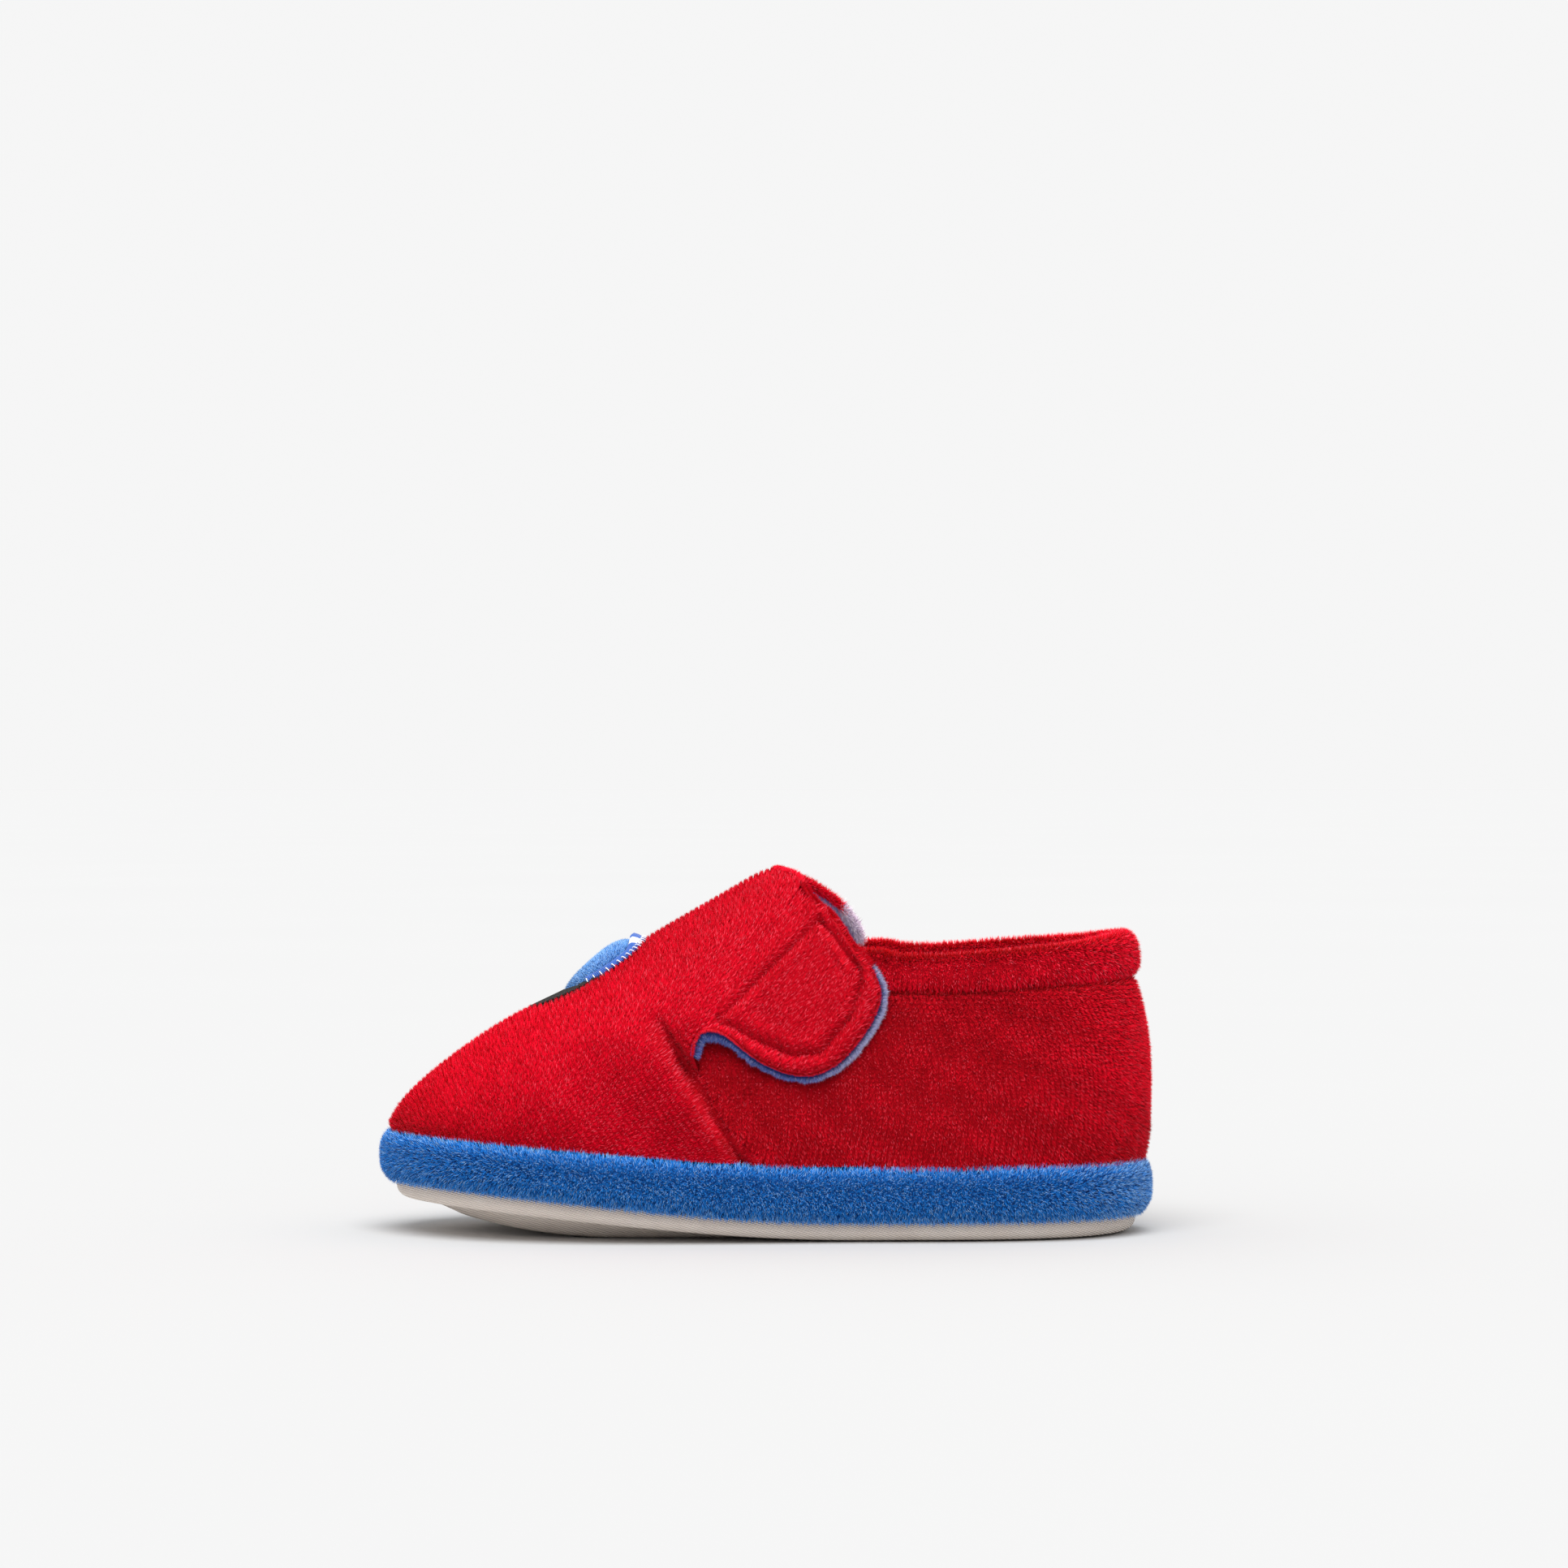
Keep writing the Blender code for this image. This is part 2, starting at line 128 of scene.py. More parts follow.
TAB_OUTLINE = {
    "vamp, low":       (5.45, 0.455),
    "root, low":       (5.14, 0.440),
    "lower edge":      (4.60, 0.422),
    "lower bulge":     (4.10, 0.405),
    "lower corner":    (3.72, 0.445),
    "tip, low":        (3.42, 0.575),
    "tip":             (3.20, 0.770),
    "tip, high":       (3.135, 0.930),
    "upper corner":    (3.36, 1.050),
    "over the collar": (3.85, 1.072),
    "upper edge":      (4.40, 1.046),
    "root, high":      (5.14, 1.000),
    "vamp, high":      (5.60, 0.985),
}

# Lines sewn or folded into the cloth, as places (around, up) on the form.
TAB_STITCHING = {
    "notch":       (5.092, 0.479),
    "straight":    (4.571, 0.964),
    "upper":       (4.187, 0.990),
    "upper tip":   (3.533, 0.995),
    "tip":         (3.459, 0.952),
    "lower tip":   (3.513, 0.749),
    "lower round": (3.770, 0.536),
    "bottom":      (4.123, 0.478),
    "lower edge":  (4.535, 0.473),
    "back":        (4.933, 0.481),
}
VAMP_FOLD = {
    "sole":        (4.430, 0.000),
    "low":         (4.508, 0.045),
    "lower":       (4.654, 0.123),
    "middle":      (4.842, 0.204),
    "upper":       (5.056, 0.269),
    "below notch": (5.218, 0.317),
    "notch":       (5.405, 0.362),
    "high":        (5.610, 0.414),
    "end":         (5.799, 0.449),
}
VAMP_SEAM = {
    "sole":    (4.130, 0.000),
    "low":     (4.206, 0.031),
    "lower":   (4.342, 0.082),
    "middle":  (4.457, 0.111),
    "upper":   (4.610, 0.169),
    "high":    (4.764, 0.234),
    "higher":  (4.959, 0.302),
    "notch":   (5.160, 0.369),
    "tab":     (5.170, 0.400),
}
NOTCH_EDGE = {
    "foot":   (5.150, 0.362),
    "left":   (5.190, 0.395),
    "corner": (5.190, 0.428),
}
# About how many millimetres one step round and one step up are on the side of the form.
STEP_ROUND, STEP_UP = 17.0, 48.0
# Place round the form where the plush painted pale, as backlight on the throat's edge, starts.
THROAT_PALE_FROM = 11.3

# Pile: how deep the cloth lies under its tips, the knit rows it stands in, the fibres in a stitch
# and the tint of those painted neither bright nor towards shade.
PILE = 0.9
BAND_PILE = 0.9
WALE = 1.1
COURSE = 0.8
PER_TUFT = 25
PLAIN_TINT = 0.25
RIDGE_AXIS = np.array([0.82, 0.0, 0.572])
UPRIGHT_AXIS = np.array([0.0, 0.0, 1.0])

random = np.random.default_rng(22)


def smooth(share):
    """0 below 0, 1 above 1, and an even S-curve between."""
    share = np.clip(share, 0.0, 1.0)
    return share * share * (3.0 - 2.0 * share)


def bell(distance, width):
    return np.exp(-((distance / width) ** 2))


def unit(vectors):
    return vectors / np.maximum(np.linalg.norm(vectors, axis=-1, keepdims=True), 1e-9)


def full_turn(sides):
    return np.linspace(0, 2 * math.pi, sides, endpoint=False)


def lattice(rows, columns):
    """Two grids: the row values and the column values at each crossing."""
    return np.meshgrid(rows, columns, indexing="ij")


def closed_curve(rows, around):
    """Points at places `around` on a smooth closed curve that meets row i at place i."""
    count = len(rows)
    spread = 4.0 * np.eye(count) + np.roll(np.eye(count), 1, 0) + np.roll(np.eye(count), -1, 0)
    slopes = np.linalg.solve(spread, 3.0 * (np.roll(rows, -1, 0) - np.roll(rows, 1, 0)))
    start = np.floor(around).astype(int)
    share = (around - start)[..., None]
    here, there = start % count, (start + 1) % count
    return (
        rows[here] * (1 + 2 * share) * (1 - share) ** 2
        + slopes[here] * share * (1 - share) ** 2
        + rows[there] * share**2 * (3 - 2 * share)
        + slopes[there] * share**2 * (share - 1)
    )


def section(around):
    """The named columns of SECTIONS at places `around`, each as an array."""
    values = closed_curve(SECTION_ROWS, np.asarray(around, float))
    return {name: values[..., i] for i, name in enumerate(SECTION_COLUMNS)}


def sole_outline(around, inset=0.0):
    """(x, y) on the platform's outline, taken in by inset, and the outward direction."""
    step = 1e-3
    here, behind, ahead = (section(around + d) for d in (0.0, -step, step))
    along_x = ahead["sole_x"] - behind["sole_x"]
    along_y = ahead["sole_y"] - behind["sole_y"]
    length = np.hypot(along_x, along_y)
    out_x, out_y = -along_y / length, along_x / length
    return here["sole_x"] - inset * out_x, here["sole_y"] - inset * out_y, out_x, out_y


def toe_share(x):
    return smooth((TOE_RISE_START_X - x) / (TOE_RISE_START_X - TOE_TIP_X))


def platform_bottom(x):
    return PLATFORM_BASE + TOE_RISE * toe_share(x)


def platform_top(x):
    return platform_bottom(x) + PLATFORM_HEIGHT - TOE_THINNING * toe_share(x)


def outsole_keel(x):
    share = np.clip((OUTSOLE_FLAT_X - x) / (OUTSOLE_FLAT_X - TOE_TIP_X), 0.0, 1.0)
    return OUTSOLE_TOE_Z * share**1.6


def last_surface(around, up):
    """Points of the upper's outer form: up is 0 at the sole and 1 at the top edge."""
    around, up = np.broadcast_arrays(np.asarray(around, float), np.asarray(up, float))
    row = section(around)
    x, y, out_x, out_y = sole_outline(around, UPPER_INSET)
    foot = np.stack([x, y, platform_top(x) + GAP], -1)
    top = np.stack([row["top_x"], row["top_y"], row["top_z"]], -1)
    leave = foot + np.stack([row["flare"] * out_x, row["flare"] * out_y, row["rise"]], -1)
    arrive = top + np.stack([row["in_x"], row["in_y"], row["in_z"]], -1)
    share = np.minimum(up, 1.0)[..., None]
    rest = 1.0 - share
    points = (
        foot * rest**3 + 3 * leave * share * rest**2 + 3 * arrive * share**2 * rest + top * share**3
    )
    beyond = np.maximum(up - 1.0, 0.0)[..., None]
    across = (around - APPLIQUE_AROUND) / SEAT_HALF[0]
    along = (up - SEAT_UP) / SEAT_HALF[1]
    seat = SEAT_DEPTH * np.exp(-(across**2) - along**2)[..., None]
    return points + beyond * 3.0 * (top - arrive) + seat * SEAT_DOWN


def frame_of(surface, around, up):
    """(point, direction round the shoe, direction up, outward normal) on a surface."""
    step = 1e-3
    around, up = np.broadcast_arrays(np.asarray(around, float), np.asarray(up, float))
    point = surface(around, up)
    onward = unit(surface(around + step, up) - surface(around - step, up))
    upward = unit(surface(around, up + step) - surface(around, up - step))
    return point, onward, upward, unit(np.cross(upward, onward))


def raised(height):
    """The surface that stands height(around, up) above the form."""

    def surface(around, up):
        point, _, _, normal = frame_of(last_surface, around, up)
        return point + normal * height(around, up)[..., None]

    return surface


def from_line(rows, around, up):
    """Distance in millimetres from a closed line of places on the form."""
    line = np.array([*rows.values(), next(iter(rows.values()))])
    scale = np.array([STEP_ROUND, STEP_UP])
    place = np.stack(np.broadcast_arrays(around, up), -1) * scale
    nearest = np.full(place.shape[:-1], np.inf)
    for start, end in zip(line[:-1] * scale, line[1:] * scale):
        run = end - start
        share = np.clip(((place - start) @ run) / (run @ run), 0.0, 1.0)
        distance = np.linalg.norm(place - start - share[..., None] * run, axis=-1)
        nearest = np.minimum(nearest, distance)
    return nearest


# Cloth of the upper: heights above the form. A crease stays clear of the lining.
DEEPEST_CREASE = -1.8
EDGE_ROUNDING = 0.7
FOLD_DEPTH, FOLD_WIDTH = 1.2, 1.7
CREASE_DEPTH, CREASE_WIDTH = 0.6, 0.8
SEAM_GROOVE, INNER_SEAM_GROOVE, GROOVE_WIDTH = 0.5, 0.6, 0.8
ROLL_GROOVE, ROLL_GROOVE_WIDTH = 1.1, 1.7
SEWN_DEPTH, SEWN_WIDTH = 0.75, 0.75
TAB_STEP, TAB_ROOT_FALL = 0.35, 0.8

# Where the fold runs out, up the form, and where the peak of the throat starts and ends, round it.
FOLD_TOP, FOLD_FADE = 0.37, 0.11
PEAK_OUTER, PEAK_INNER = 5.1, 10.4


def line_at(rows, up):
    """Place round the form, at a height, of a line that only climbs."""
    places = np.array(list(rows.values()))
    return np.interp(up, places[:, 1], places[:, 0])


def seam_line(up):
    """Place round the form of the seam where the vamp ends on the quarter."""
    return line_at(VAMP_SEAM, up)


def vamp_proud(around, up):
    """How far the vamp stands out from the form: most beside the tab, none at the ridge."""
    height = VAMP_PROUD_AT_SOLE + (TAB_PROUD - VAMP_PROUD_AT_SOLE) * smooth(up / NOTCH_UP)
    return height * smooth(1.0 - (around - seam_line(up)) / VAMP_FADE)


def soft_dents(around, up):
    """Slow, shallow unevenness of cloth over padding."""
    return (
        0.22 * np.sin(3.1 * around + 5.0 * up + 0.4)
        + 0.16 * np.sin(5.3 * around - 9.0 * up + 1.9)
        + 0.10 * np.sin(9.7 * around + 14.0 * up)
    )


def nap_patches(around, up):
    """Slow changes of the nap, as hands leave it, from about -1 to 1."""
    across, along = around * STEP_ROUND, up * STEP_UP
    patches = np.sin(0.83 * across + 1.3 * np.sin(0.37 * along))
    patches = patches * np.sin(0.57 * along + np.sin(0.41 * across))
    return 0.55 * patches + 0.45 * np.sin(0.29 * across - 0.43 * along + 1.0)


def past_fold(around, up):
    """Millimetres past the fold in the vamp, towards the seam."""
    return (line_at(VAMP_FOLD, up) - around) * STEP_ROUND * 0.7


def fold_share(up):
    """1 where the vamp is folded, falling to 0 above the notch."""
    return 1.0 - smooth((up - FOLD_TOP) / FOLD_FADE)


def fold_depth(up):
    """The fold is a hollow beside the notch and runs out towards the sole."""
    return fold_share(up) * (0.55 + 0.45 * smooth((up - 0.06) / 0.16))


def in_crease(around, up):
    """1 in the narrow crease at the bottom of the fold."""
    return fold_share(up) * bell(past_fold(around, up) - 0.9, CREASE_WIDTH)


def at_peak(around):
    """1 over the instep, where the throat's edge is rounded most."""
    return smooth((around - PEAK_OUTER) / 0.8) * smooth((PEAK_INNER - around) / 0.9)


def vamp_height(around, up):
    """Vamp cloth: it swells, drops over the fold to a strip, and the strip runs to the seam."""
    past = past_fold(around, up)
    swell = vamp_proud(around, up)
    strip = 0.25 + 2.0 * smooth((up - 0.30) / 0.08)
    drop = fold_share(up) * smooth((past + 1.6) / 3.0)
    to_seam = (around - seam_line(up)) * STEP_ROUND
    below_notch = smooth((NOTCH_UP - 0.02 - up) / 0.06)
    height = (
        swell + (np.minimum(strip, swell) - swell) * drop
        - PILE
        - FOLD_DEPTH * fold_depth(up) * bell(past - 0.4, FOLD_WIDTH)
        - CREASE_DEPTH * in_crease(around, up)
        - SEAM_GROOVE * below_notch * bell(to_seam, GROOVE_WIDTH)
        - INNER_SEAM_GROOVE * bell(inner_seam_distance(around, up), GROOVE_WIDTH)
        - EDGE_ROUNDING * at_peak(around) * smooth((up - 0.93) / 0.07) ** 2
        + 0.6 * soft_dents(around, up)
    )
    return np.maximum(height, DEEPEST_CREASE)


def quarter_height(around, up):
    """Quarter cloth: flat padding, with a groove beside each seam and under the roll."""
    to_seam = (seam_line(up) - around) * STEP_ROUND
    return (
        -PILE
        - SEAM_GROOVE * bell(to_seam, GROOVE_WIDTH)
        - INNER_SEAM_GROOVE * bell(inner_seam_distance(around, up), GROOVE_WIDTH)
        - ROLL_GROOVE * bell((1.0 - up) * STEP_UP, ROLL_GROOVE_WIDTH)
        + soft_dents(around, up)
    )


def inner_seam_distance(around, up):
    """Millimetres from the seam on the inner side, where the quarter meets the vamp."""
    return (np.mod(around, AROUND) - (AROUND - seam_line(up))) * STEP_ROUND


def tab_edge_places(points_per_row, root_points):
    """Places on the tab's edge, then those on the line that closes it on the vamp.

    Under the vamp they stay below the throat's edge.
    """
    rows = np.array(list(TAB_OUTLINE.values()))
    last = len(rows) - 1
    edge = closed_curve(rows, np.arange(0, last + 1e-6, 1 / points_per_row))
    root = np.linspace(rows[last], rows[0], root_points + 1, endpoint=False)[1:]
    for places in (edge, root):
        under_vamp = smooth((places[:, 0] - SEAM_AROUND) / 0.08)
        highest = TAB_HIGHEST + (TAB_ROOT_HIGHEST - TAB_HIGHEST) * under_vamp
        places[:, 1] = np.minimum(places[:, 1], highest)
    return edge, root


def polar(around, up):
    """Turn and distance of a place from the tab's middle."""
    across = (around - TAB_MIDDLE[0]) * STEP_ROUND
    along = (up - TAB_MIDDLE[1]) * STEP_UP
    return np.arctan2(along, across), np.hypot(across, along)


TAB_EDGE_TURN, TAB_EDGE_REACH = polar(*np.concatenate(tab_edge_places(12, 60)).T)


def tab_share(around, up):
    """0 in the tab's middle and 1 on its edge."""
    turn, reach = polar(around, up)
    order = np.argsort(TAB_EDGE_TURN)
    return reach / np.interp(turn, TAB_EDGE_TURN[order], TAB_EDGE_REACH[order], period=2 * math.pi)


def tab_edge_height(around):
    """Where the plush meets the lining on the tab's edge: higher in the notch."""
    return 1.3 + 0.9 * bell(around - SEAM_AROUND, 0.3)


def tab_height(around, up):
    """Tab cloth: it runs on under the vamp, rolls over at its free edge, and is sewn down."""
    share = tab_share(around, up)
    free = smooth((SEAM_AROUND + 0.03 - around) / 0.12)
    turned = np.clip((share - TAB_RED_SHARE) / 0.075 + 1.0, 0.0, 1.0) * free
    top = TAB_PROUD - PILE
    stitching = from_line(TAB_STITCHING, around, up)
    edge = tab_edge_height(around)
    rolled = edge + (top - edge) * np.sqrt(1.0 - turned**2 * 0.999)
    return (
        rolled
        - SEWN_DEPTH * bell(stitching, SEWN_WIDTH)
        + 0.3 * free * bell(stitching - 2.2, 1.1)
        + 0.3 * free * smooth((0.8 - share) / 0.4)
        - TAB_STEP * smooth((around - SEAM_AROUND) / 0.06)
        - TAB_ROOT_FALL * smooth((around - SEAM_AROUND) / 0.4)
    )


vamp_skin = raised(vamp_height)
quarter_skin = raised(quarter_height)
tab_skin = raised(tab_height)


def lining_skin(around, up):
    point, _, _, normal = frame_of(last_surface, around, up)
    return point - normal * LINING_DEPTH


# Meshes.

def piece(name, points, faces, finish, replaced=(), normals=None, places=None):
    """A mesh that rides on the slipper. places are the finish's coordinates at its corners."""
    mesh = bpy.data.meshes.new(name)
    faces = np.asarray(faces)
    count, sides = faces.shape
    mesh.vertices.add(len(points))
    mesh.vertices.foreach_set("co", (np.asarray(points, np.float32) * MM).ravel())
    mesh.loops.add(count * sides)
    mesh.loops.foreach_set("vertex_index", faces.astype(np.int32).ravel())
    mesh.polygons.add(count)
    mesh.polygons.foreach_set("loop_start", np.arange(0, count * sides, sides, dtype=np.int32))
    if places is not None:
        layer = mesh.uv_layers.new(name="places", do_init=False)
        layer.uv.foreach_set("vector", np.asarray(places, np.float32).ravel())
    mesh.update(calc_edges=True)
    mesh.validate()
    mesh.shade_smooth()
    if normals is not None:
        mesh.normals_split_custom_set_from_vertices(normals)
    mesh.materials.append(finish.material)
    made = bpy.data.objects.new(name, mesh)
    bpy.context.scene.collection.objects.link(made)
    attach(made, "root")
    if replaced:
        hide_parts(*replaced)
    return made


def grid_faces(rows, columns, rows_close=False, columns_close=False, flip=False):
    """Four-sided faces over a grid of points held row by row."""
    row = np.arange(rows if rows_close else rows - 1)[:, None]
    column = np.arange(columns if columns_close else columns - 1)[None, :]
    row_after, column_after = (row + 1) % rows, (column + 1) % columns
    corners = [
        row * columns + column, row * columns + column_after,
        row_after * columns + column_after, row_after * columns + column,
    ]
    faces = np.stack([np.broadcast_to(c, (row.size, column.size)).ravel() for c in corners], -1)
    return faces[:, ::-1] if flip else faces


def grid_piece(name, points, finish, slot, replaced=(), **closing):
    """A piece over a grid of points. closing is as grid_faces takes it."""
    faces = grid_faces(*points.shape[:2], **closing)
    return piece(name, points.reshape(-1, 3), faces, finish, replaced)


def capped_piece(name, rings, finish, slot, flip=False):
    """A closed piece over rings of points, with a fan over each end. It replaces its slot's solid."""
    count, sides = rings.shape[:2]
    here = np.arange(sides)
    after = (here + 1) % sides
    last = (count - 1) * sides
    low = np.stack([after, here, np.full(sides, count * sides)], -1)
    high = np.stack([last + here, last + after, np.full(sides, count * sides + 1)], -1)
    caps = np.concatenate([low, high])
    side = grid_faces(count, sides, columns_close=True, flip=flip)
    faces = np.concatenate([side[:, [0, 1, 2]], side[:, [0, 2, 3]], caps[:, ::-1] if flip else caps])
    points = np.concatenate([rings.reshape(-1, 3), rings[[0, -1]].mean(1)])
    return piece(name, points, faces, finish, [slot])


def pile(name, root, normal, nap, finish, length, width, lean, splay, tint, gather=0.0):
    """Tapering fibres, one per root, leaning along nap and gathered at their tips.

    tint picks each fibre's shade. gather is a vector per fibre, or 0.
    """
    count = len(root)
    long = length * random.normal(1.0, 0.13, count).clip(0.6, 1.4)
    tilt = random.normal(lean, 0.14, count)
    swing = random.normal(0.0, splay, count)
    across = np.cross(normal, nap)
    flat = nap * np.cos(swing)[:, None] + across * np.sin(swing)[:, None]
    direction = normal * np.cos(tilt)[:, None] + flat * np.sin(tilt)[:, None]
    tip = root + direction * long[:, None] - gather
    breadth = unit(np.cross(tip - root, normal) + 0.3 * random.normal(0, 1, (count, 3)))
    half = breadth * (width * random.uniform(0.35, 0.65, count))[:, None]
    facing = np.cross(2 * half, tip - root + half)
    wrong = (facing * normal).sum(-1) < 0
    facing = unit(np.where(wrong[:, None], -facing, facing))
    points = np.stack([root - half, root + half, tip], 1).reshape(-1, 3)
    faces = np.arange(3 * count).reshape(-1, 3)
    faces[wrong] = faces[wrong][:, ::-1]
    shading = np.repeat(unit(0.6 * normal + 0.4 * facing), 3, axis=0)
    tint = np.clip(tint, 0.02, 0.98)
    corners = ((tint - 0.01, 0.01), (tint + 0.01, 0.01), (tint, 0.99))
    places = np.stack([np.stack([across, np.full(count, up)], -1) for across, up in corners], 1)
    places[wrong] = places[wrong][:, ::-1]
    return piece(name, points, faces, finish, normals=shading, places=places.reshape(-1, 2))


def shades(count, glint_share, fall=0.0):
    """Tints for fibres: glint_share of them painted bright as glints, the rest near body, less their painted
    fall to shade.
    """
    plain = PLAIN_TINT + 0.3 * random.beta(1.2, 3.0, count) - fall
    bright = random.uniform(0.75, 1.0, count)
    return np.where(random.uniform(0, 1, count) < glint_share, bright, plain)


def knit_rows(axis, around, up, level_step, arc_step):
    """Places on the form in even rows: levels along axis, and even steps round each level.

    Steps are counted from the middle of around, so that rows line up across levels.
    """
    point = last_surface(around[:, None], up[None, :])
    level = np.maximum.accumulate(point @ axis, axis=1)
    levels = np.arange(level.min(), level.max(), level_step)
    ups = np.stack([np.interp(levels, column, up, left=np.nan, right=np.nan) for column in level])
    middle = len(around) // 2
    found = []
    for number in range(len(levels)):
        held = ~np.isnan(ups[:, number])
        if held.sum() < 2:
            continue
        line = last_surface(around[held], ups[held, number])
        length = np.concatenate([[0.0], np.cumsum(np.linalg.norm(np.diff(line, axis=0), axis=1))])
        length -= np.interp(around[middle], around[held], length)
        steps = np.arange(math.ceil(length[0] / arc_step), length[-1] / arc_step) * arc_step
        place = np.interp(steps, length, around[held])
        found.append(np.stack([place, np.interp(place, around[held], ups[held, number])], -1))
    return np.concatenate(found).T


def tufts(places, surface, axis, per_tuft, wales_climb):
    """Roots of per_tuft fibres in each knit stitch, the way up its wale, and its gathering.

    Rows lie further apart on cloth that slants away from axis, and the fibres spread to fill them.
    """
    around, up = (np.repeat(value, per_tuft) for value in places)
    count = len(around)
    point, _, _, normal = frame_of(surface, around, up)
    arc = unit(np.cross(axis, normal))
    level = unit(np.cross(normal, arc))
    slant = 1.0 / np.maximum(level @ axis, 0.5)
    if wales_climb:
        across, climb, wale, course = arc, level, WALE, COURSE * slant
    else:
        across, climb, wale, course = level, arc, WALE * slant, COURSE
    aside = across * (random.uniform(-0.5, 0.5, count) * wale)[:, None]
    ahead = climb * (random.uniform(-0.5, 0.5, count) * course)[:, None]
    return point + aside + ahead, normal, level, 0.55 * aside + 0.3 * ahead


# Finishes.

class Value:
    """A number that varies over a surface, for use in Python expressions."""

    def __init__(self, finish, socket):
        self.finish = finish
        self.socket = socket

    def maths(self, operation, first, second):
        return self.finish.node("ShaderNodeMath", {"operation": operation}, {0: first, 1: second})

    def __add__(self, other):
        return self.maths("ADD", self, other)

    def __radd__(self, other):
        return self.maths("ADD", other, self)

    def __sub__(self, other):
        return self.maths("SUBTRACT", self, other)

    def __rsub__(self, other):
        return self.maths("SUBTRACT", other, self)

    def __mul__(self, other):
        return self.maths("MULTIPLY", self, other)

    def __rmul__(self, other):
        return self.maths("MULTIPLY", other, self)


class Finish:
    """A material built on one Principled shader. Sockets given by name are constant."""

    def __init__(self, name, **sockets):
        self.material = bpy.data.materials.new(name)
        self.material.use_nodes = True
        self.tree = self.material.node_tree
        self.shader = self.tree.nodes["Principled BSDF"]
        for socket, value in sockets.items():
            self.shader.inputs[socket.replace("_", " ")].default_value = value

    def node(self, kind, settings=None, sockets=None, output=0):
        made = self.tree.nodes.new(kind)
        for name, value in (settings or {}).items():
            setattr(made, name, value)
        for name, value in (sockets or {}).items():
            self.set(made.inputs[name], value)
        return Value(self, made.outputs[output])

    def set(self, socket, value):
        if isinstance(value, Value):
            self.tree.links.new(value.socket, socket)
        else:
            socket.default_value = value

    def feed(self, socket, value):
        self.set(self.shader.inputs[socket], value)

    def mix(self, share, first, second):
        settings = {"data_type": "RGBA", "clamp_factor": True}
        return self.node("ShaderNodeMix", settings, {0: share, 6: first, 7: second}, output=2)

    def between(self, value, low, high):
        settings = {"interpolation_type": "SMOOTHSTEP"}
        return self.node("ShaderNodeMapRange", settings, {"Value": value, "From Min": low, "From Max": high})

    def noise(self, size_mm, detail=2.0):
        sockets = {"Vector": self.position(), "Scale": 1000.0 / size_mm, "Detail": detail, "Roughness": 0.55}
        return self.node("ShaderNodeTexNoise", None, sockets)

    def position(self):
        return self.node("ShaderNodeTexCoord", output="Object")

    def parts(self, vector):
        """The three numbers of a vector."""
        first = self.node("ShaderNodeSeparateXYZ", None, {0: vector})
        return [Value(self, socket) for socket in first.socket.node.outputs]

    def bump(self, height, depth_mm):
        sockets = {"Height": height, "Distance": depth_mm * MM, "Strength": 1.0}
        self.feed("Normal", self.node("ShaderNodeBump", None, sockets))


def linear(red, green, blue):
    """A colour read in 0 to 255 screen values, as linear light."""
    share = np.array([red, green, blue]) / 255.0
    return (*np.where(share <= 0.04045, share / 12.92, ((share + 0.055) / 1.055) ** 2.4), 1.0)


def pile_finish(name, root_shade, shade, body, bright, sheen_tint, sheen, painted_rim_sheen):
    """Fibres: painted shade at the root, painted shade to body to painted glints by tint, and painted sheen
    edge on.
    """
    root_shade, shade, body, bright = (linear(*colour) for colour in (root_shade, shade, body, bright))
    finish = Finish(
        name, Roughness=0.75, Specular_IOR_Level=0.1,
        Sheen_Weight=sheen, Sheen_Roughness=0.35, Sheen_Tint=sheen_tint,
    )
    tint, height, _ = finish.parts(finish.node("ShaderNodeUVMap", {"uv_map": "places"}))
    along = finish.between(height, 0.0, 0.75)
    edge_on = finish.node("ShaderNodeLayerWeight", None, {"Blend": 0.5}, output="Facing")
    plain = finish.mix(finish.between(tint, 0.05, PLAIN_TINT + 0.05), shade, body)
    lit = finish.mix(finish.between(tint, 0.45, 1.0), plain, bright)
    # Painted rim sheen: fibres seen edge on are painted towards the bright colour.
    with_rim_sheen = finish.mix(finish.between(edge_on, 0.5, 1.0) * painted_rim_sheen, lit, bright)
    # Painted shade among the fibres: darker towards the root.
    finish.feed("Base Color", finish.mix(along, root_shade, with_rim_sheen))
    return finish


def cloth_finish(name, dark, light, sheen_tint):
    """The cloth between the fibres, uneven in colour and nap."""
    finish = Finish(
        name, Roughness=0.95, Specular_IOR_Level=0.1,
        Sheen_Weight=0.05, Sheen_Roughness=0.5, Sheen_Tint=sheen_tint,
    )
    nap = finish.noise(0.9, 3.0)
    wear = finish.noise(9.0)
    finish.feed("Base Color", finish.mix(nap * 0.7 + wear * 0.4 - 0.05, linear(*dark), linear(*light)))
    finish.bump(nap, 0.35)
    return finish


def rubber_finish():
    """Matte cream rubber with fine slanting ribs."""
    finish = Finish("cream_rubber", Specular_IOR_Level=0.35)
    along, across, up = finish.parts(finish.position())
    slant = along * 1000.0 + up * 3200.0 + across * 400.0
    ribs = finish.node("ShaderNodeMath", {"operation": "SINE"}, {0: slant * 5.2})
    grime = finish.noise(6.0, 3.0)
    shade = finish.mix(grime, linear(238, 222, 210), linear(250, 240, 230))
    finish.feed("Base Color", finish.mix(ribs * 0.12 + 0.12, shade, linear(172, 160, 152)))
    finish.feed("Roughness", grime * 0.2 + 0.55)
    finish.bump(ribs, 0.12)
    return finish


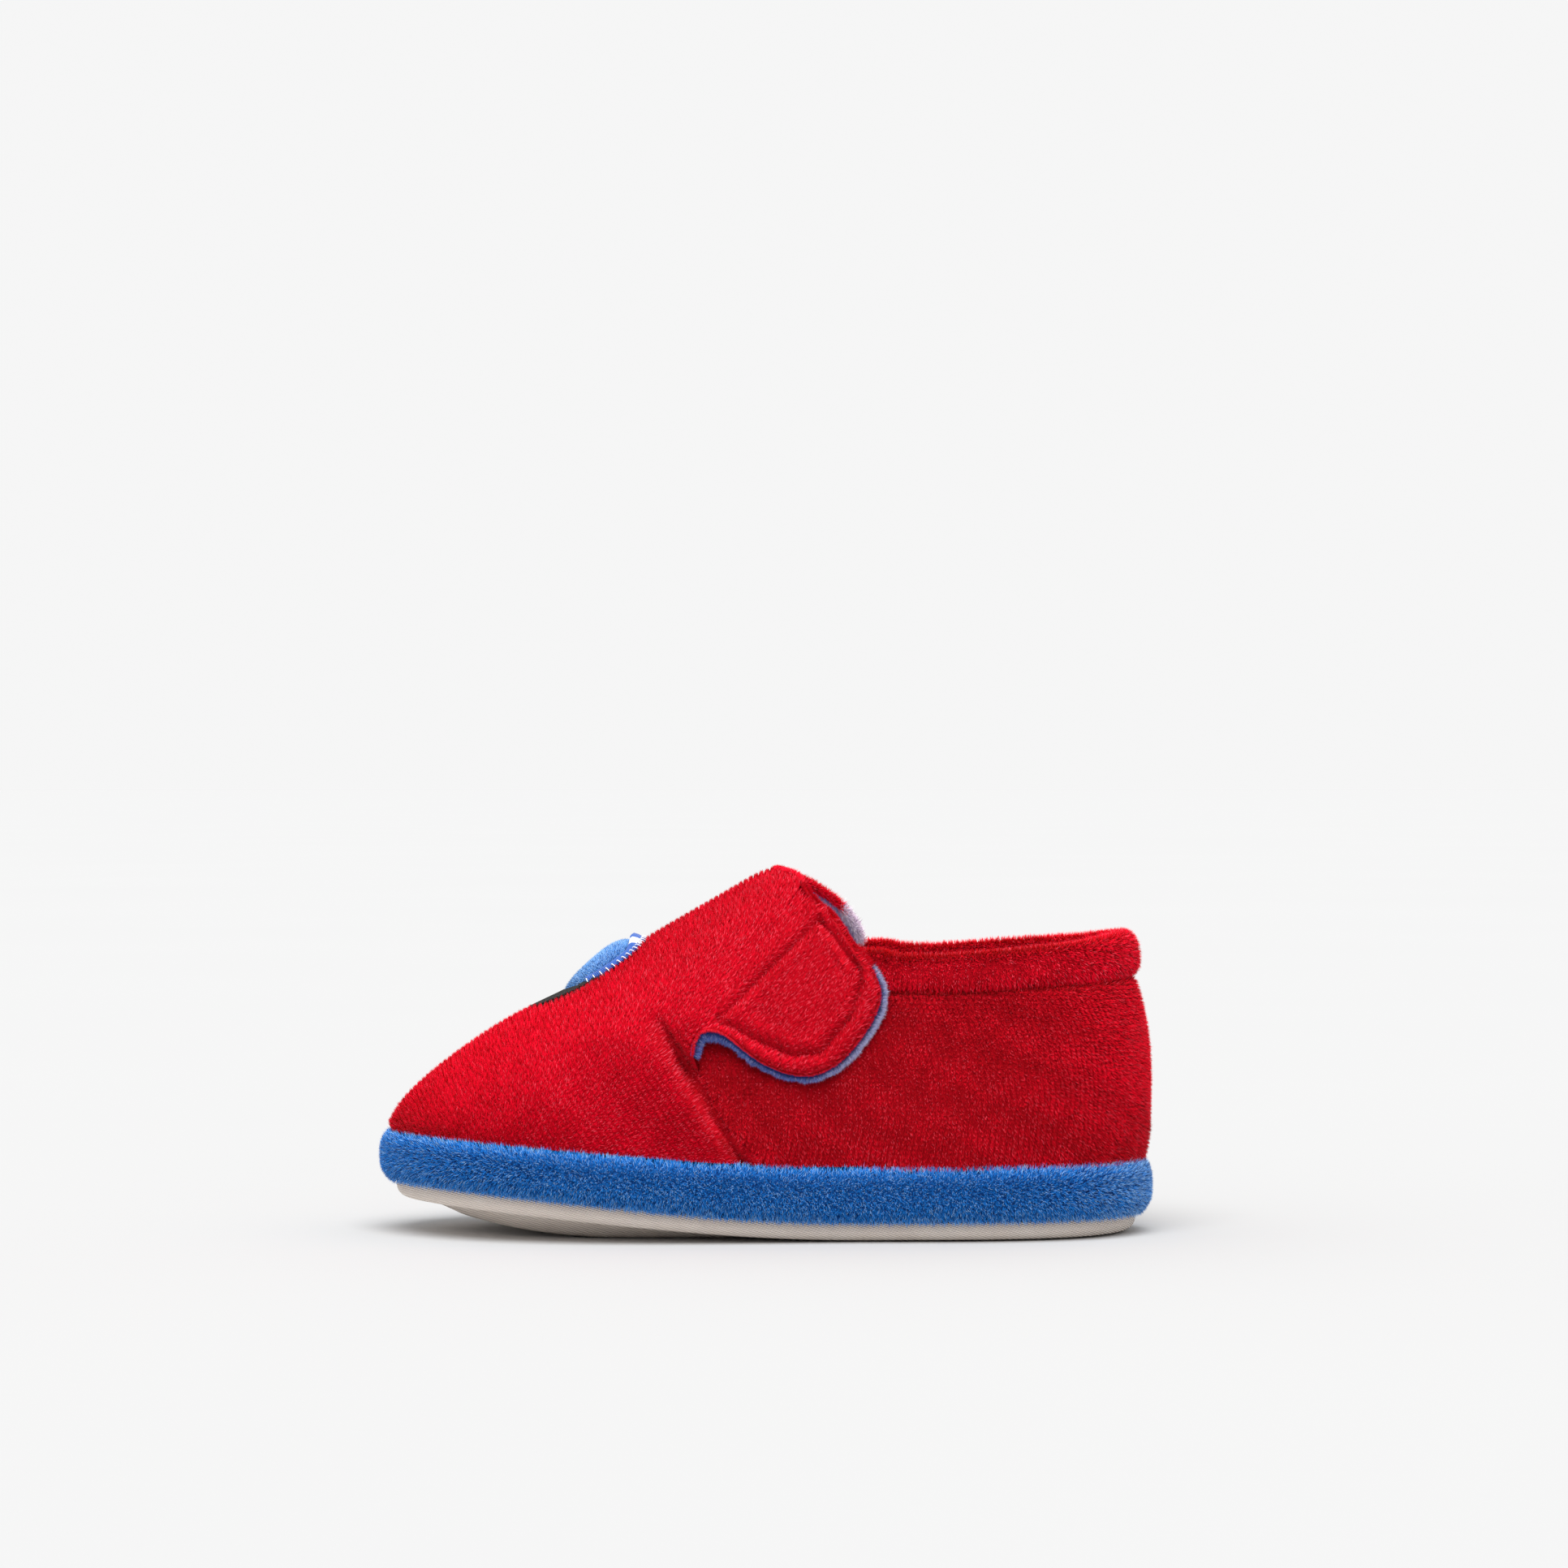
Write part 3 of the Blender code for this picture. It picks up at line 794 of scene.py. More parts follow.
def thread_finish(name, dark, light, roughness=0.42, sheen=0.2):
    """Embroidery thread."""
    finish = Finish(name, Roughness=roughness, Specular_IOR_Level=0.3, Sheen_Weight=sheen)
    finish.feed("Base Color", finish.mix(finish.noise(0.5), linear(*dark), linear(*light)))
    return finish


PINK_SHEEN = (1.0, 0.45, 0.5, 1.0)
SKY_SHEEN = (0.55, 0.75, 1.0, 1.0)

# Cloths: dark and light colour, and the sheen's.
tab_cloth_blue = cloth_finish("tab_cloth_blue", (40, 54, 118), (70, 90, 165), SKY_SHEEN)
red_cloth = cloth_finish("red_cloth", (150, 1, 16), (190, 3, 28), PINK_SHEEN)
blue_cloth = cloth_finish("blue_cloth", (20, 62, 125), (36, 92, 165), SKY_SHEEN)
lining_cloth = cloth_finish("lining_cloth", (160, 176, 240), (205, 214, 252), SKY_SHEEN)

# Piles: painted shade at the root, painted shade, body and painted glint colours; the sheen and its weight;
# painted rim sheen.
PLUSH = (
    ("red_pile", (206, 0, 26), (196, 0, 27), (244, 1, 44), (252, 92, 114), PINK_SHEEN, 0.04, 0.2),
    ("quarter_pile", (164, 0, 13), (184, 1, 18), (250, 2, 40), (248, 76, 96), PINK_SHEEN, 0.05, 0.6),
    ("collar_red", (176, 0, 17), (208, 2, 27), (255, 4, 46), (252, 96, 116), PINK_SHEEN, 0.05, 0.6),
    ("blue_pile", (8, 66, 142), (20, 108, 196), (34, 134, 226), (160, 206, 250), SKY_SHEEN, 0.08, 0.6),
    ("sky_pile", (52, 116, 192), (80, 140, 210), (106, 162, 224), (176, 210, 246), SKY_SHEEN, 0.15, 0.3),
    ("tab_blue_pile", (46, 66, 142), (60, 84, 160), (88, 112, 194), (212, 216, 248), SKY_SHEEN, 0.1, 0.3),
    ("throat_backlit_pile", (182, 172, 218), (200, 184, 220), (228, 208, 228), (252, 238, 246), PINK_SHEEN, 0.2, 0.3),
    ("lining_pile", (170, 184, 240), (180, 192, 244), (206, 216, 252), (240, 228, 248), SKY_SHEEN, 0.3, 0.3),
)
red_pile, quarter_pile, collar_red, blue_pile, sky_pile, tab_blue_pile, throat_backlit_pile, lining_pile = (
    pile_finish(*row) for row in PLUSH
)
cream_rubber = rubber_finish()
black_thread = thread_finish("black_thread", (10, 9, 9), (46, 41, 38), 0.7, 0.0)
blue_thread = thread_finish("blue_thread", (22, 62, 150), (60, 118, 205))
white_thread = thread_finish("white_thread", (205, 212, 225), (245, 247, 250))


# Sole. A profile is a list of (inset from the outline, level) from one face to the other.

OUTSOLE_PROFILE = [
    (15.0, 0.0), (3.4, 0.0), (3.25, 0.12), (3.25, 0.3), (3.4, 0.5), (3.7, 0.68), (4.2, 0.82), (5.0, 0.93),
    (6.2, 0.99), (7.4, 1.0), (9.0, 1.17), (11.0, 1.4), (13.0, 1.6), (15.0, 1.8), (17.5, 2.0),
]
INSOLE_EDGE = UPPER_INSET + WALL + 0.6
INSOLE_PROFILE = [
    (INSOLE_EDGE + 8.0, 0.0), (INSOLE_EDGE, 0.02), (INSOLE_EDGE - 0.2, 0.4), (INSOLE_EDGE + 0.2, 0.75),
    (INSOLE_EDGE + 1.2, 0.95), (INSOLE_EDGE + 3.0, 1.0), (INSOLE_EDGE + 8.0, 0.97),
]
BAND_LOW, BAND_SPAN = 0.06, 0.88
BAND_FIBRES = 150000


def sole_piece(name, profile, height, finish, slot, per_section=16):
    """A sole piece from rings: height(x, level) places each layer of its profile."""
    around = np.arange(0, AROUND, 1 / per_section)
    rings = []
    for inset, level in profile:
        x, y, _, _ = sole_outline(around, inset)
        rings.append(np.stack([x, y, height(x, level)], -1))
    return capped_piece(name, np.array(rings), finish, slot)


def outsole_height(x, level):
    top = platform_bottom(x) - GAP + 0.2
    edge = np.maximum(top - OUTSOLE_WALL, outsole_keel(x))
    wall = top + (edge - top) * min(level, 1.0)
    return wall + (outsole_keel(x) - edge) * smooth(level - 1.0)


def insole_height(x, level):
    return platform_top(x) + GAP + INSOLE_HEIGHT * level


def wrap_profile(level):
    """How far the wrap's side lies in from the outline at a level, 0 at the bottom."""
    return 1.3 * np.abs(2.0 * level - 1.05) ** 3.6


def platform_height(x, level):
    return platform_bottom(x) * (1 - level) + platform_top(x) * level


def band_profile():
    """The band's side, turned in over the outsole and under the upper."""
    side = [
        (BAND_PILE + wrap_profile(level), BAND_LOW + BAND_SPAN * level)
        for level in np.linspace(0.02, 0.98, 21)
    ]
    return [(9.0, BAND_LOW), (3.6, BAND_LOW), *side, (3.6, 0.95), (9.0, 0.95)]


def band_place(around, level):
    """Point on the band's side."""
    x, y, out_x, out_y = sole_outline(around)
    inset = BAND_PILE + wrap_profile(level)
    height = platform_height(x, BAND_LOW + BAND_SPAN * level)
    return np.stack([x - inset * out_x, y - inset * out_y, height], -1)


def even_round(count):
    """Places round the sole, evenly spread along its outline."""
    around = np.linspace(0, AROUND, 2001)
    x, y, _, _ = sole_outline(around)
    length = np.concatenate([[0.0], np.cumsum(np.hypot(np.diff(x), np.diff(y)))])
    return np.interp(random.uniform(0, length[-1], count), length, around)


def platform_plush():
    """The band's plush, parted along its middle, with painted sheen round the heel and along its edges."""
    around = even_round(BAND_FIBRES)
    level = random.uniform(-0.03, 1.03, BAND_FIBRES)
    root, _, rise, normal = frame_of(band_place, around, level)
    clump = np.sin(around * 61.0 + 9 * np.sin(level * 7.0)) * np.sin(level * 23.0 + around * 17.0)
    edge = smooth(np.abs(2 * level - 1.0) * 4.0 - 3.0)
    parting = np.sign(level - 0.5 - 0.3 * clump)
    # Painted sheen: more fibres painted bright round the heel and along the top and bottom edges.
    glint_share = 0.18 + 0.34 * smooth((1.6 - around) / 1.4) + 0.12 * edge
    pile(
        "platform_pile", root, normal, rise * parting[:, None], blue_pile,
        length=1.1 + 0.3 * edge, width=0.16, lean=0.3 + 0.2 * np.abs(clump) + 0.2 * edge, splay=1.2,
        tint=shades(BAND_FIBRES, glint_share, -0.15 * clump),
    )


sole_piece("outsole_rubber", OUTSOLE_PROFILE, outsole_height, cream_rubber, "outsole")
platform = sole_piece("platform_wrap", band_profile(), platform_height, blue_cloth, "platform")
insole = sole_piece("insole_pad", INSOLE_PROFILE, insole_height, lining_cloth, "insole")
platform_plush()


# Upper.

def up_rows(count, top=1.0):
    return np.linspace(0.0, top, count)


def vamp_piece():
    """Cloth from seam to seam over the toe, turned in at the throat."""
    share, up = lattice(np.linspace(0, 1, 200), up_rows(80))
    around = seam_line(up) + share * (AROUND - 2 * seam_line(up))
    points = np.concatenate([vamp_skin(around, up), lining_skin(around[:, -1:], up[:, -1:])], axis=1)
    return grid_piece("vamp_cloth", points, red_cloth, "upper", ["upper"])


def quarter_piece():
    share, up = lattice(np.linspace(-1, 1, 220), up_rows(60))
    return grid_piece("quarter_cloth", quarter_skin(share * seam_line(up), up), red_cloth, "upper")


def lining_piece():
    around, up = lattice(np.linspace(0, AROUND, 200, endpoint=False), up_rows(40))
    return grid_piece("lining", lining_skin(around, up), lining_cloth, "upper", rows_close=True, flip=True)


def under_tab(around):
    """1 where the throat's edge lies under the tab."""
    return smooth((around - 3.7) / 0.4) * smooth((5.5 - around) / 0.5)


def rim_place(around, turn):
    """Point, outward direction and way over the upper's top edge, at a turn from plush to lining."""
    point, _, upward, normal = frame_of(last_surface, around, np.ones_like(around))
    under_roll = 1.0 - smooth((around - 3.4) / 0.6) * smooth((AROUND - 3.3 - around) / 0.6)
    pale = smooth((around - THROAT_PALE_FROM + 0.2) / 0.4)
    peak = at_peak(around)
    outer = vamp_proud(np.maximum(around, SEAM_AROUND), 1.0) * smooth((around - 4.9) / 0.7) - PILE
    outer = outer - 0.5 * under_roll + 1.2 * under_tab(around) - EDGE_ROUNDING * peak
    middle, half = (outer - LINING_DEPTH) / 2, (outer + LINING_DEPTH) / 2
    height = (0.9 - 0.4 * pale - 0.3 * peak) * (1.0 - 0.9 * np.maximum(under_roll, under_tab(around)))
    sunk = 0.1 + 0.5 * np.maximum(under_roll, 0.6 * pale)
    out = unit(normal * np.cos(turn)[..., None] + upward * np.sin(turn)[..., None])
    place = (
        point
        + normal * (middle + half * np.cos(turn))[..., None]
        + upward * (height * np.sin(turn) - sunk)[..., None]
    )
    return place, out, unit(np.cross(out, np.cross(upward, normal)))


def rim_piece():
    """The upper's top edge."""
    around, turn = lattice(np.linspace(0, AROUND, 320, endpoint=False), np.linspace(0, math.pi, 9))
    points, _, _ = rim_place(around, turn)
    return grid_piece("throat_rim", points, red_cloth, "upper", rows_close=True)


vamp = vamp_piece()
quarter = quarter_piece()
lining = lining_piece()
rim_piece()


# Pile of the upper.

def grow_knit(name, places, surface, axis, wales_climb, finish, nap_sign, tint, length, lean):
    root, normal, level, gather = tufts(places, surface, axis, PER_TUFT, wales_climb)
    return pile(
        name, root, normal, level * nap_sign, finish,
        length=length, width=0.15, lean=lean, splay=0.3, tint=tint, gather=gather,
    )


def glints(around, up):
    """Share of fibres painted bright as glints: more beside the seam and on the tab than at the toe."""
    return 0.03 + 0.13 * smooth((7.4 - around) / 1.6) * smooth((1.3 - up) / 0.5)


def vamp_painted_shade(around, up):
    """How far fibres are painted towards shade: painted shade on the upper vamp, in the fold, on its crest
    and on the tab.
    """
    in_fold = fold_depth(up) * bell(past_fold(around, up) - 0.7, 1.5)
    crest = fold_share(up) * bell(past_fold(around, up) + 0.9, 1.5)
    on_tab = smooth((SEAM_AROUND - around) / 0.7)
    return 0.17 * smooth((up - 0.3) / 0.4) + 0.3 * in_fold + 0.25 * crest + 0.1 * on_tab


def at_heel(around):
    return smooth((2.0 - np.abs(around)) / 1.5)


def quarter_painted_shade(around, up):
    """Painted shade on the quarter's fibres, partly its nap's darker tone: lifted by painted light at the
    heel, deepest in the tab's painted shadow.
    """
    tab_shadow = smooth((1.55 - tab_share(around, up)) / 0.45)
    return 0.2 - 0.2 * at_heel(around) * smooth(up / 0.5) + 0.13 * tab_shadow


def vamp_and_tab_plush():
    """Plush of vamp, strip and tab, in rows that run on from the one to the other."""
    rows = knit_rows(RIDGE_AXIS, np.linspace(3.0, AROUND - 3.0, 600), up_rows(200, 1.08), WALE, COURSE)
    around, up = rows
    beyond_seam = np.minimum(around, AROUND - around) > seam_line(up)
    from_oval = np.hypot((around - APPLIQUE_AROUND) / BASE_HALF[0], (up - BASE_UP) / BASE_HALF[1])
    on_vamp = (up <= 1.0) & beyond_seam & (from_oval > 0.98)
    tab_reach = TAB_RED_SHARE + np.where(up > 1.0, 0.005, -0.01)
    on_tab = (around < SEAM_AROUND) & (tab_share(around, up) < tab_reach) & (up > NOTCH_UP)
    on_strip = on_vamp & (around < line_at(VAMP_FOLD, up)) & (up < NOTCH_UP)
    outer = around < AROUND / 2
    for name, chosen, surface, slot, finish in (
        ("vamp_pile_outer", on_vamp & ~on_strip & outer, vamp_skin, "upper", red_pile),
        ("vamp_pile_inner", on_vamp & ~outer, vamp_skin, "upper", red_pile),
        # The strip takes the quarter's darker plush: partly its nap's own tone, partly painted shadow of the
        # fold.
        ("seam_strip_pile", on_strip, vamp_skin, "upper", quarter_pile),
        ("tab_pile", on_tab & ~on_vamp, tab_skin, "tab", red_pile),
    ):
        places = rows[:, chosen]
        around, up = np.repeat(places, PER_TUFT, axis=1)
        sewn = bell(from_line(TAB_STITCHING, around, up), 0.8)
        grow_knit(
            name, places, surface, RIDGE_AXIS, False, finish, 1.0,
            tint=shades(len(around), glints(around, up), vamp_painted_shade(around, up)),
            length=1.05 - 0.45 * sewn - 0.4 * in_crease(around, up),
            lean=0.5 + 0.12 * nap_patches(around, up),
        )


def quarter_plush():
    """Plush of the quarters, in rows that climb from the sole and waver a little."""
    rows = knit_rows(UPRIGHT_AXIS, np.linspace(-5.3, 5.3, 600), up_rows(200), COURSE, WALE)
    around, up = rows
    on_quarter = (np.abs(around) < seam_line(up)) & (tab_share(around, up) > 0.8)
    for name, chosen in (
        ("quarter_pile_outer", on_quarter & (around > 0)),
        ("quarter_pile_inner", on_quarter & (around <= 0)),
    ):
        places = rows[:, chosen]
        places[0] += 0.007 * np.sin(21.0 * places[1] + 2.0 * places[0])
        around, up = np.repeat(places, PER_TUFT, axis=1)
        brushed = nap_patches(around, up)
        grow_knit(
            name, places, quarter_skin, UPRIGHT_AXIS, True, quarter_pile, -1.0,
            tint=shades(len(around), 0.09, quarter_painted_shade(around, up) - 0.06 * brushed),
            length=1.05, lean=0.5 + 0.12 * brushed,
        )


vamp_and_tab_plush()
quarter_plush()


# Tab.

def tab_places(shares):
    """Places over the tab: one row round it for each share of the way from its middle to its edge."""
    middle = np.array(TAB_MIDDLE)
    return middle + np.array(shares)[:, None, None] * (np.concatenate(tab_edge_places(10, 40)) - middle)


def tab_piece():
    """Red cloth of the tab from its middle, over its rolled edge, down to its lining."""
    place = tab_places([*np.linspace(0.003, 0.9, 34), *np.linspace(0.91, 0.97, 7), TAB_RED_SHARE])
    edge, _, _, normal = frame_of(last_surface, place[-1, :, 0], place[-1, :, 1])
    hem = [edge + normal * height for height in (0.9, TAB_CLEARANCE)]
    points = np.concatenate([tab_skin(place[..., 0], place[..., 1]), hem])
    return grid_piece("tab_cloth", points, red_cloth, "tab", ["tab"], columns_close=True)


def tab_edge_between(first, last, points_per_row):
    """Places along the tab's edge between two rows of its outline."""
    rows = list(TAB_OUTLINE)
    edge, _ = tab_edge_places(points_per_row, 2)
    return edge[rows.index(first) * points_per_row : rows.index(last) * points_per_row]


def tab_rim_places(points_per_row):
    """Places along the tab's free edge, from the foot of the notch to its upper corner."""
    free = tab_edge_between("root, low", "upper corner", points_per_row)
    notch = np.array(list(NOTCH_EDGE.values()))
    steps = np.linspace(0, len(notch) - 1, points_per_row * 2)
    bend = np.stack([np.interp(steps, np.arange(len(notch)), notch[:, k]) for k in (0, 1)], -1)
    return np.concatenate([bend, free])


def tab_rim_frame(place):
    """Point, normal and outward direction along the tab's free edge."""
    point, _, _, normal = frame_of(last_surface, place[:, 0], place[:, 1])
    onward = np.gradient(point, axis=0)
    return point, normal, unit(np.cross(onward, normal))


def tab_lining_piece():
    """Blue plush lining under the tab, showing as a band round its edge and in the notch."""
    place = tab_places((0.96, 0.9, 0.78, 0.55, 0.3, 0.02))
    point, _, _, normal = frame_of(last_surface, place[..., 0], place[..., 1])
    under = point + normal * TAB_CLEARANCE
    place = tab_rim_places(10)
    point, normal, outward = tab_rim_frame(place)
    top = tab_edge_height(place[:, 0]) + 0.1
    band = []
    for share, bulge in ((0.0, -0.3), (0.12, 0.0), (0.35, 0.15), (0.65, 0.15), (0.9, -0.05), (1.0, -0.5)):
        height = TAB_CLEARANCE + share * (top - TAB_CLEARANCE)
        band.append(point + normal * height[:, None] + outward * bulge)
    band = np.array(band)
    points = np.concatenate([under.reshape(-1, 3), band.reshape(-1, 3)])
    under_faces = grid_faces(*under.shape[:2], columns_close=True)
    band_faces = grid_faces(*band.shape[:2]) + under.shape[0] * under.shape[1]
    faces = np.concatenate([under_faces, band_faces])
    return piece("tab_lining", points, faces, tab_cloth_blue)


def tab_fringe(name, path, finish, low, high, per_mm, length, lean, droop, shift, pale):
    """Fibres standing out from the tab's edge along a path, between two shares of its height.

    droop is 1 for fibres that lean up from the shoe and -1 for those that lean down to it. shift
    moves their roots outwards. pale is how many more of them are painted bright at the tip than
    elsewhere: painted light on the tab's tip.
    """
    point, normal, outward = tab_rim_frame(path)
    run = np.concatenate([[0.0], np.cumsum(np.linalg.norm(np.diff(point, axis=0), axis=1))])
    count = int(run[-1] * per_mm)
    along = random.uniform(0, run[-1], count)

    def pick(values):
        return np.stack([np.interp(along, run, values[:, k]) for k in range(values.shape[1])], -1)

    point, normal, outward = pick(point), unit(pick(normal)), unit(pick(outward))
    around = pick(path)[:, 0]
    edge = tab_edge_height(around)
    height = TAB_CLEARANCE + random.uniform(low, high, count) * (edge - TAB_CLEARANCE)
    root = point + normal * height[:, None] + outward * shift
    knots = np.arange(0.0, run[-1] + 1.0, 0.7)
    clump = np.interp(along, knots, random.normal(0.0, 0.6, len(knots)).clip(-1, 1))
    in_notch = bell(around - SEAM_AROUND, 0.2)
    at_tip = smooth((4.0 - around) / 0.7)
    fullness = 0.85 + 0.25 * clump + 0.35 * in_notch + 0.35 * at_tip
    return pile(
        name, root, outward, normal * droop, finish,
        length=length * fullness * random.uniform(0.7, 1.15, count),
        width=0.15, lean=lean + 0.3 * clump, splay=1.0,
        # More fibres painted bright towards the tab's tip: painted light.
        tint=shades(count, 0.08 + pale * at_tip),
    )


def tab_fringes(per_row=40):
    """Blue and red plush round the tab's free edge, and red over its top edge."""
    free = tab_rim_places(per_row)
    top = tab_edge_between("upper corner", "root, high", per_row)
    # After the finish: low, high, per_mm, length, lean, droop, shift and pale.
    for name, path, finish, *settings in (
        ("tab_edge_blue", free, tab_blue_pile, 0.0, 1.05, 300, 1.15, 0.35, -1.0, 0.1, 0.8),
        ("tab_edge_red", free, red_pile, 1.0, 1.6, 120, 0.6, 0.5, 1.0, -0.4, 0.0),
        ("tab_top_red", top, red_pile, 0.2, 1.7, 260, 1.3, 0.5, 1.0, -0.3, 0.1),
        ("tab_top_roll", top, red_pile, 1.0, 2.1, 200, 0.9, 0.9, 1.0, -0.8, 0.0),
    ):
        tab_fringe(name, path, finish, *settings)


tab = tab_piece()
tab_lining = tab_lining_piece()
tab_fringes()


# Collar.

ROLL_RIBS, ROLL_TUFTS, ROLL_PER_TUFT = 140, 26, 18


def roll_place(along):
    """Place round the form of a share of the roll, from its end under the tab."""
    return ROLL_OUTER_END + 0.4 + along * (ROLL_INNER_END - ROLL_OUTER_END - 1.0)


def collar_surface(along, turn, grown=0.0):
    """The padded roll: along it from under the tab to the inner side, and round it."""
    around = roll_place(along)
    past_outer = np.maximum(around - ROLL_LEVEL_OUTER, 0.0) * STEP_ROUND
    past_inner = np.maximum(ROLL_LEVEL_INNER - around, 0.0) * STEP_ROUND
    around = np.clip(around, ROLL_LEVEL_INNER, ROLL_LEVEL_OUTER)
    full = 1.0 - 0.7 * smooth((past_outer + past_inner - 3.0) / 10.0)
    point, onward, upward, _ = frame_of(last_surface, around, np.ones_like(around))
    upright = unit(upward + ROLL_UPRIGHT * UPRIGHT_AXIS)
    outward = unit(np.cross(upright, onward))
    heel = smooth(1.0 - np.abs(around) / 2.0)
    height = full * (ROLL_HEIGHT + (ROLL_HEIGHT_AT_HEEL - ROLL_HEIGHT) * heel) / 2
    far_side = smooth((0.5 - around) / 2.0)
    middle = (
        point
        + upright * (GAP + height - 0.4 * (1.0 - heel) + 0.7 * far_side * (1.0 - heel))[..., None]
        + outward * (ROLL_FULLER + ROLL_PROUD_AT_HEEL * heel - ROLL_THICKNESS / 2)[..., None]
        + ROLL_OUTER_TUCK * past_outer[..., None]
        + ROLL_INNER_TUCK * past_inner[..., None]
    )
    across, rise = (np.sign(side) * np.abs(side) ** 0.85 for side in (np.cos(turn), np.sin(turn)))
    dent = 0.25 * np.sin(along * 23.0) * np.sin(along * 9.0 + 1.0)
    thick = full * ROLL_THICKNESS / 2 - PILE + grown + dent
    tall = np.where(rise < 0, height + full * ROLL_SINK, height - PILE) + grown
    return middle + outward * (thick * across)[..., None] + upright * (tall * rise)[..., None]


def collar_piece():
    along, turn = lattice(np.linspace(0, 1, 180), full_turn(32))
    return capped_piece("collar_roll", collar_surface(along, turn), red_cloth, "collar", flip=True)


def collar_plush():
    """The roll's plush, in ribs that run over it."""
    rib, tuft = lattice(np.arange(ROLL_RIBS), np.arange(ROLL_TUFTS))
    count = rib.size * ROLL_PER_TUFT
    middle = np.repeat((rib.ravel() + 0.5) / ROLL_RIBS, ROLL_PER_TUFT)
    along = middle + random.uniform(-0.5, 0.5, count) / ROLL_RIBS
    turn = np.repeat(tuft.ravel(), ROLL_PER_TUFT) + random.uniform(-0.5, 0.5, count)
    turn = turn * 2 * math.pi / ROLL_TUFTS
    root, _, rise, normal = frame_of(collar_surface, along, turn)
    normal *= np.sign(((collar_surface(along, turn, 0.1) - root) * normal).sum(-1))[:, None]
    brushed = nap_patches(9.0 * along, 0.15 * np.sin(turn))
    return pile(
        "collar_pile", root, normal, -rise * np.sign(np.cos(turn))[:, None], collar_red,
        length=1.1, width=0.18, lean=0.45 + 0.2 * brushed, splay=0.5,
        # Painted shade along the roll, lifted by painted light at the heel.
        tint=shades(count, 0.08, 0.18 - 0.18 * at_heel(roll_place(along)) - 0.06 * brushed),
        gather=0.5 * (root - collar_surface(middle, turn)),
    )


collar = collar_piece()
collar_plush()


# Plush of the lining and of the throat's edge.

INNER_THROAT = (THROAT_PALE_FROM, AROUND + ROLL_INNER_END + 0.1)


def wall_plush(name, around, up, length, width, splay, glint_share):
    """Plush on the lining, combed down, one fibre at each place."""
    root, _, upward, normal = frame_of(lining_skin, around, up)
    return pile(
        name, root, -normal, -upward, lining_pile, length=length, width=width,
        lean=0.6, splay=splay, tint=shades(len(around), glint_share),
    )


def throat_plush(count=24000):
    around = random.uniform(7.0, AROUND + ROLL_INNER_END + 0.3, count)
    up = 1.0 - 0.3 * random.beta(1.0, 1.7, count)
    return wall_plush("lining_plush", around, up, length=0.95, width=0.2, splay=0.9, glint_share=0.3)


def rim_fringe(name, ends, turns, count, finish, length, glint_share):
    """Plush turned over the throat's edge, between two places round it and two turns over it."""
    around = random.uniform(*ends, count) + random.normal(0.0, 0.04, count)
    root, out, side = rim_place(around, random.uniform(*turns, count) * math.pi)
    cut = 1.0 - 0.5 * under_tab(around) - 0.25 * at_peak(around)
    return pile(
        name, root, out, side, finish, length=length * cut * random.uniform(0.6, 1.1, count),
        width=0.17, lean=0.5, splay=1.4, tint=shades(count, glint_share),
    )


throat_plush()
rim_fringe("throat_fringe", (3.8, THROAT_PALE_FROM + 0.1), (0.0, 0.9), 19000, red_pile, 1.35, 0.06)
rim_fringe("throat_fringe_inner", INNER_THROAT, (-0.05, 0.45), 4000, red_pile, 0.9, 0.06)
# Plush painted pale pinkish-white: painted backlight on the lining's edge.
rim_fringe("throat_fuzz", INNER_THROAT, (0.25, 1.0), 9000, throat_backlit_pile, 1.7, 0.45)


# Applique: embroidered ground, satin stitches round it and a plush round.

APPLIQUE_TURNS = full_turn(64)
GROUND_LAYERS = [
    (1.0, -1.0), (1.0, BASE_TOP - 0.5), (0.97, BASE_TOP - 0.3),
    (0.8, BASE_TOP - 0.25), (0.5, BASE_TOP - 0.25), (0.2, BASE_TOP - 0.25),
]
PAD_SHARES = (1.0, 0.985, 0.96, 0.92, 0.86, 0.77, 0.65, 0.5, 0.32, 0.12)
STITCH_STEPS = STITCH_SIDES = 6
RING_END = 2.25
BLOCK_WHITE = (0.5, 0.78)


def oval_frame(middle_up, half, share, turn):
    """What frame_of gives at a share of an oval's half size and a turn about its middle."""
    around = APPLIQUE_AROUND + share * half[0] * np.cos(turn)
    return frame_of(last_surface, around, middle_up + share * half[1] * np.sin(turn))


def oval_piece(name, middle_up, half, layers, finish, slot):
    """A low oval from rings: each layer is a share of its half size and a height, even or by turn."""
    rings = []
    for share, height in layers:
        point, _, _, normal = oval_frame(middle_up, half, share, APPLIQUE_TURNS)
        rings.append(point + normal * np.broadcast_to(height, APPLIQUE_TURNS.shape)[:, None])
    return capped_piece(name, np.array(rings), finish, slot)


def pad_height(share, turn):
    """Height of the plush round's cloth: fuller towards the heel."""
    dome = (1.0 - np.clip(share, 0, 1) ** 2.6) ** 0.6
    return PAD_FULL * dome * (1.0 + 0.35 * share * np.sin(turn)) - PAD_PILE


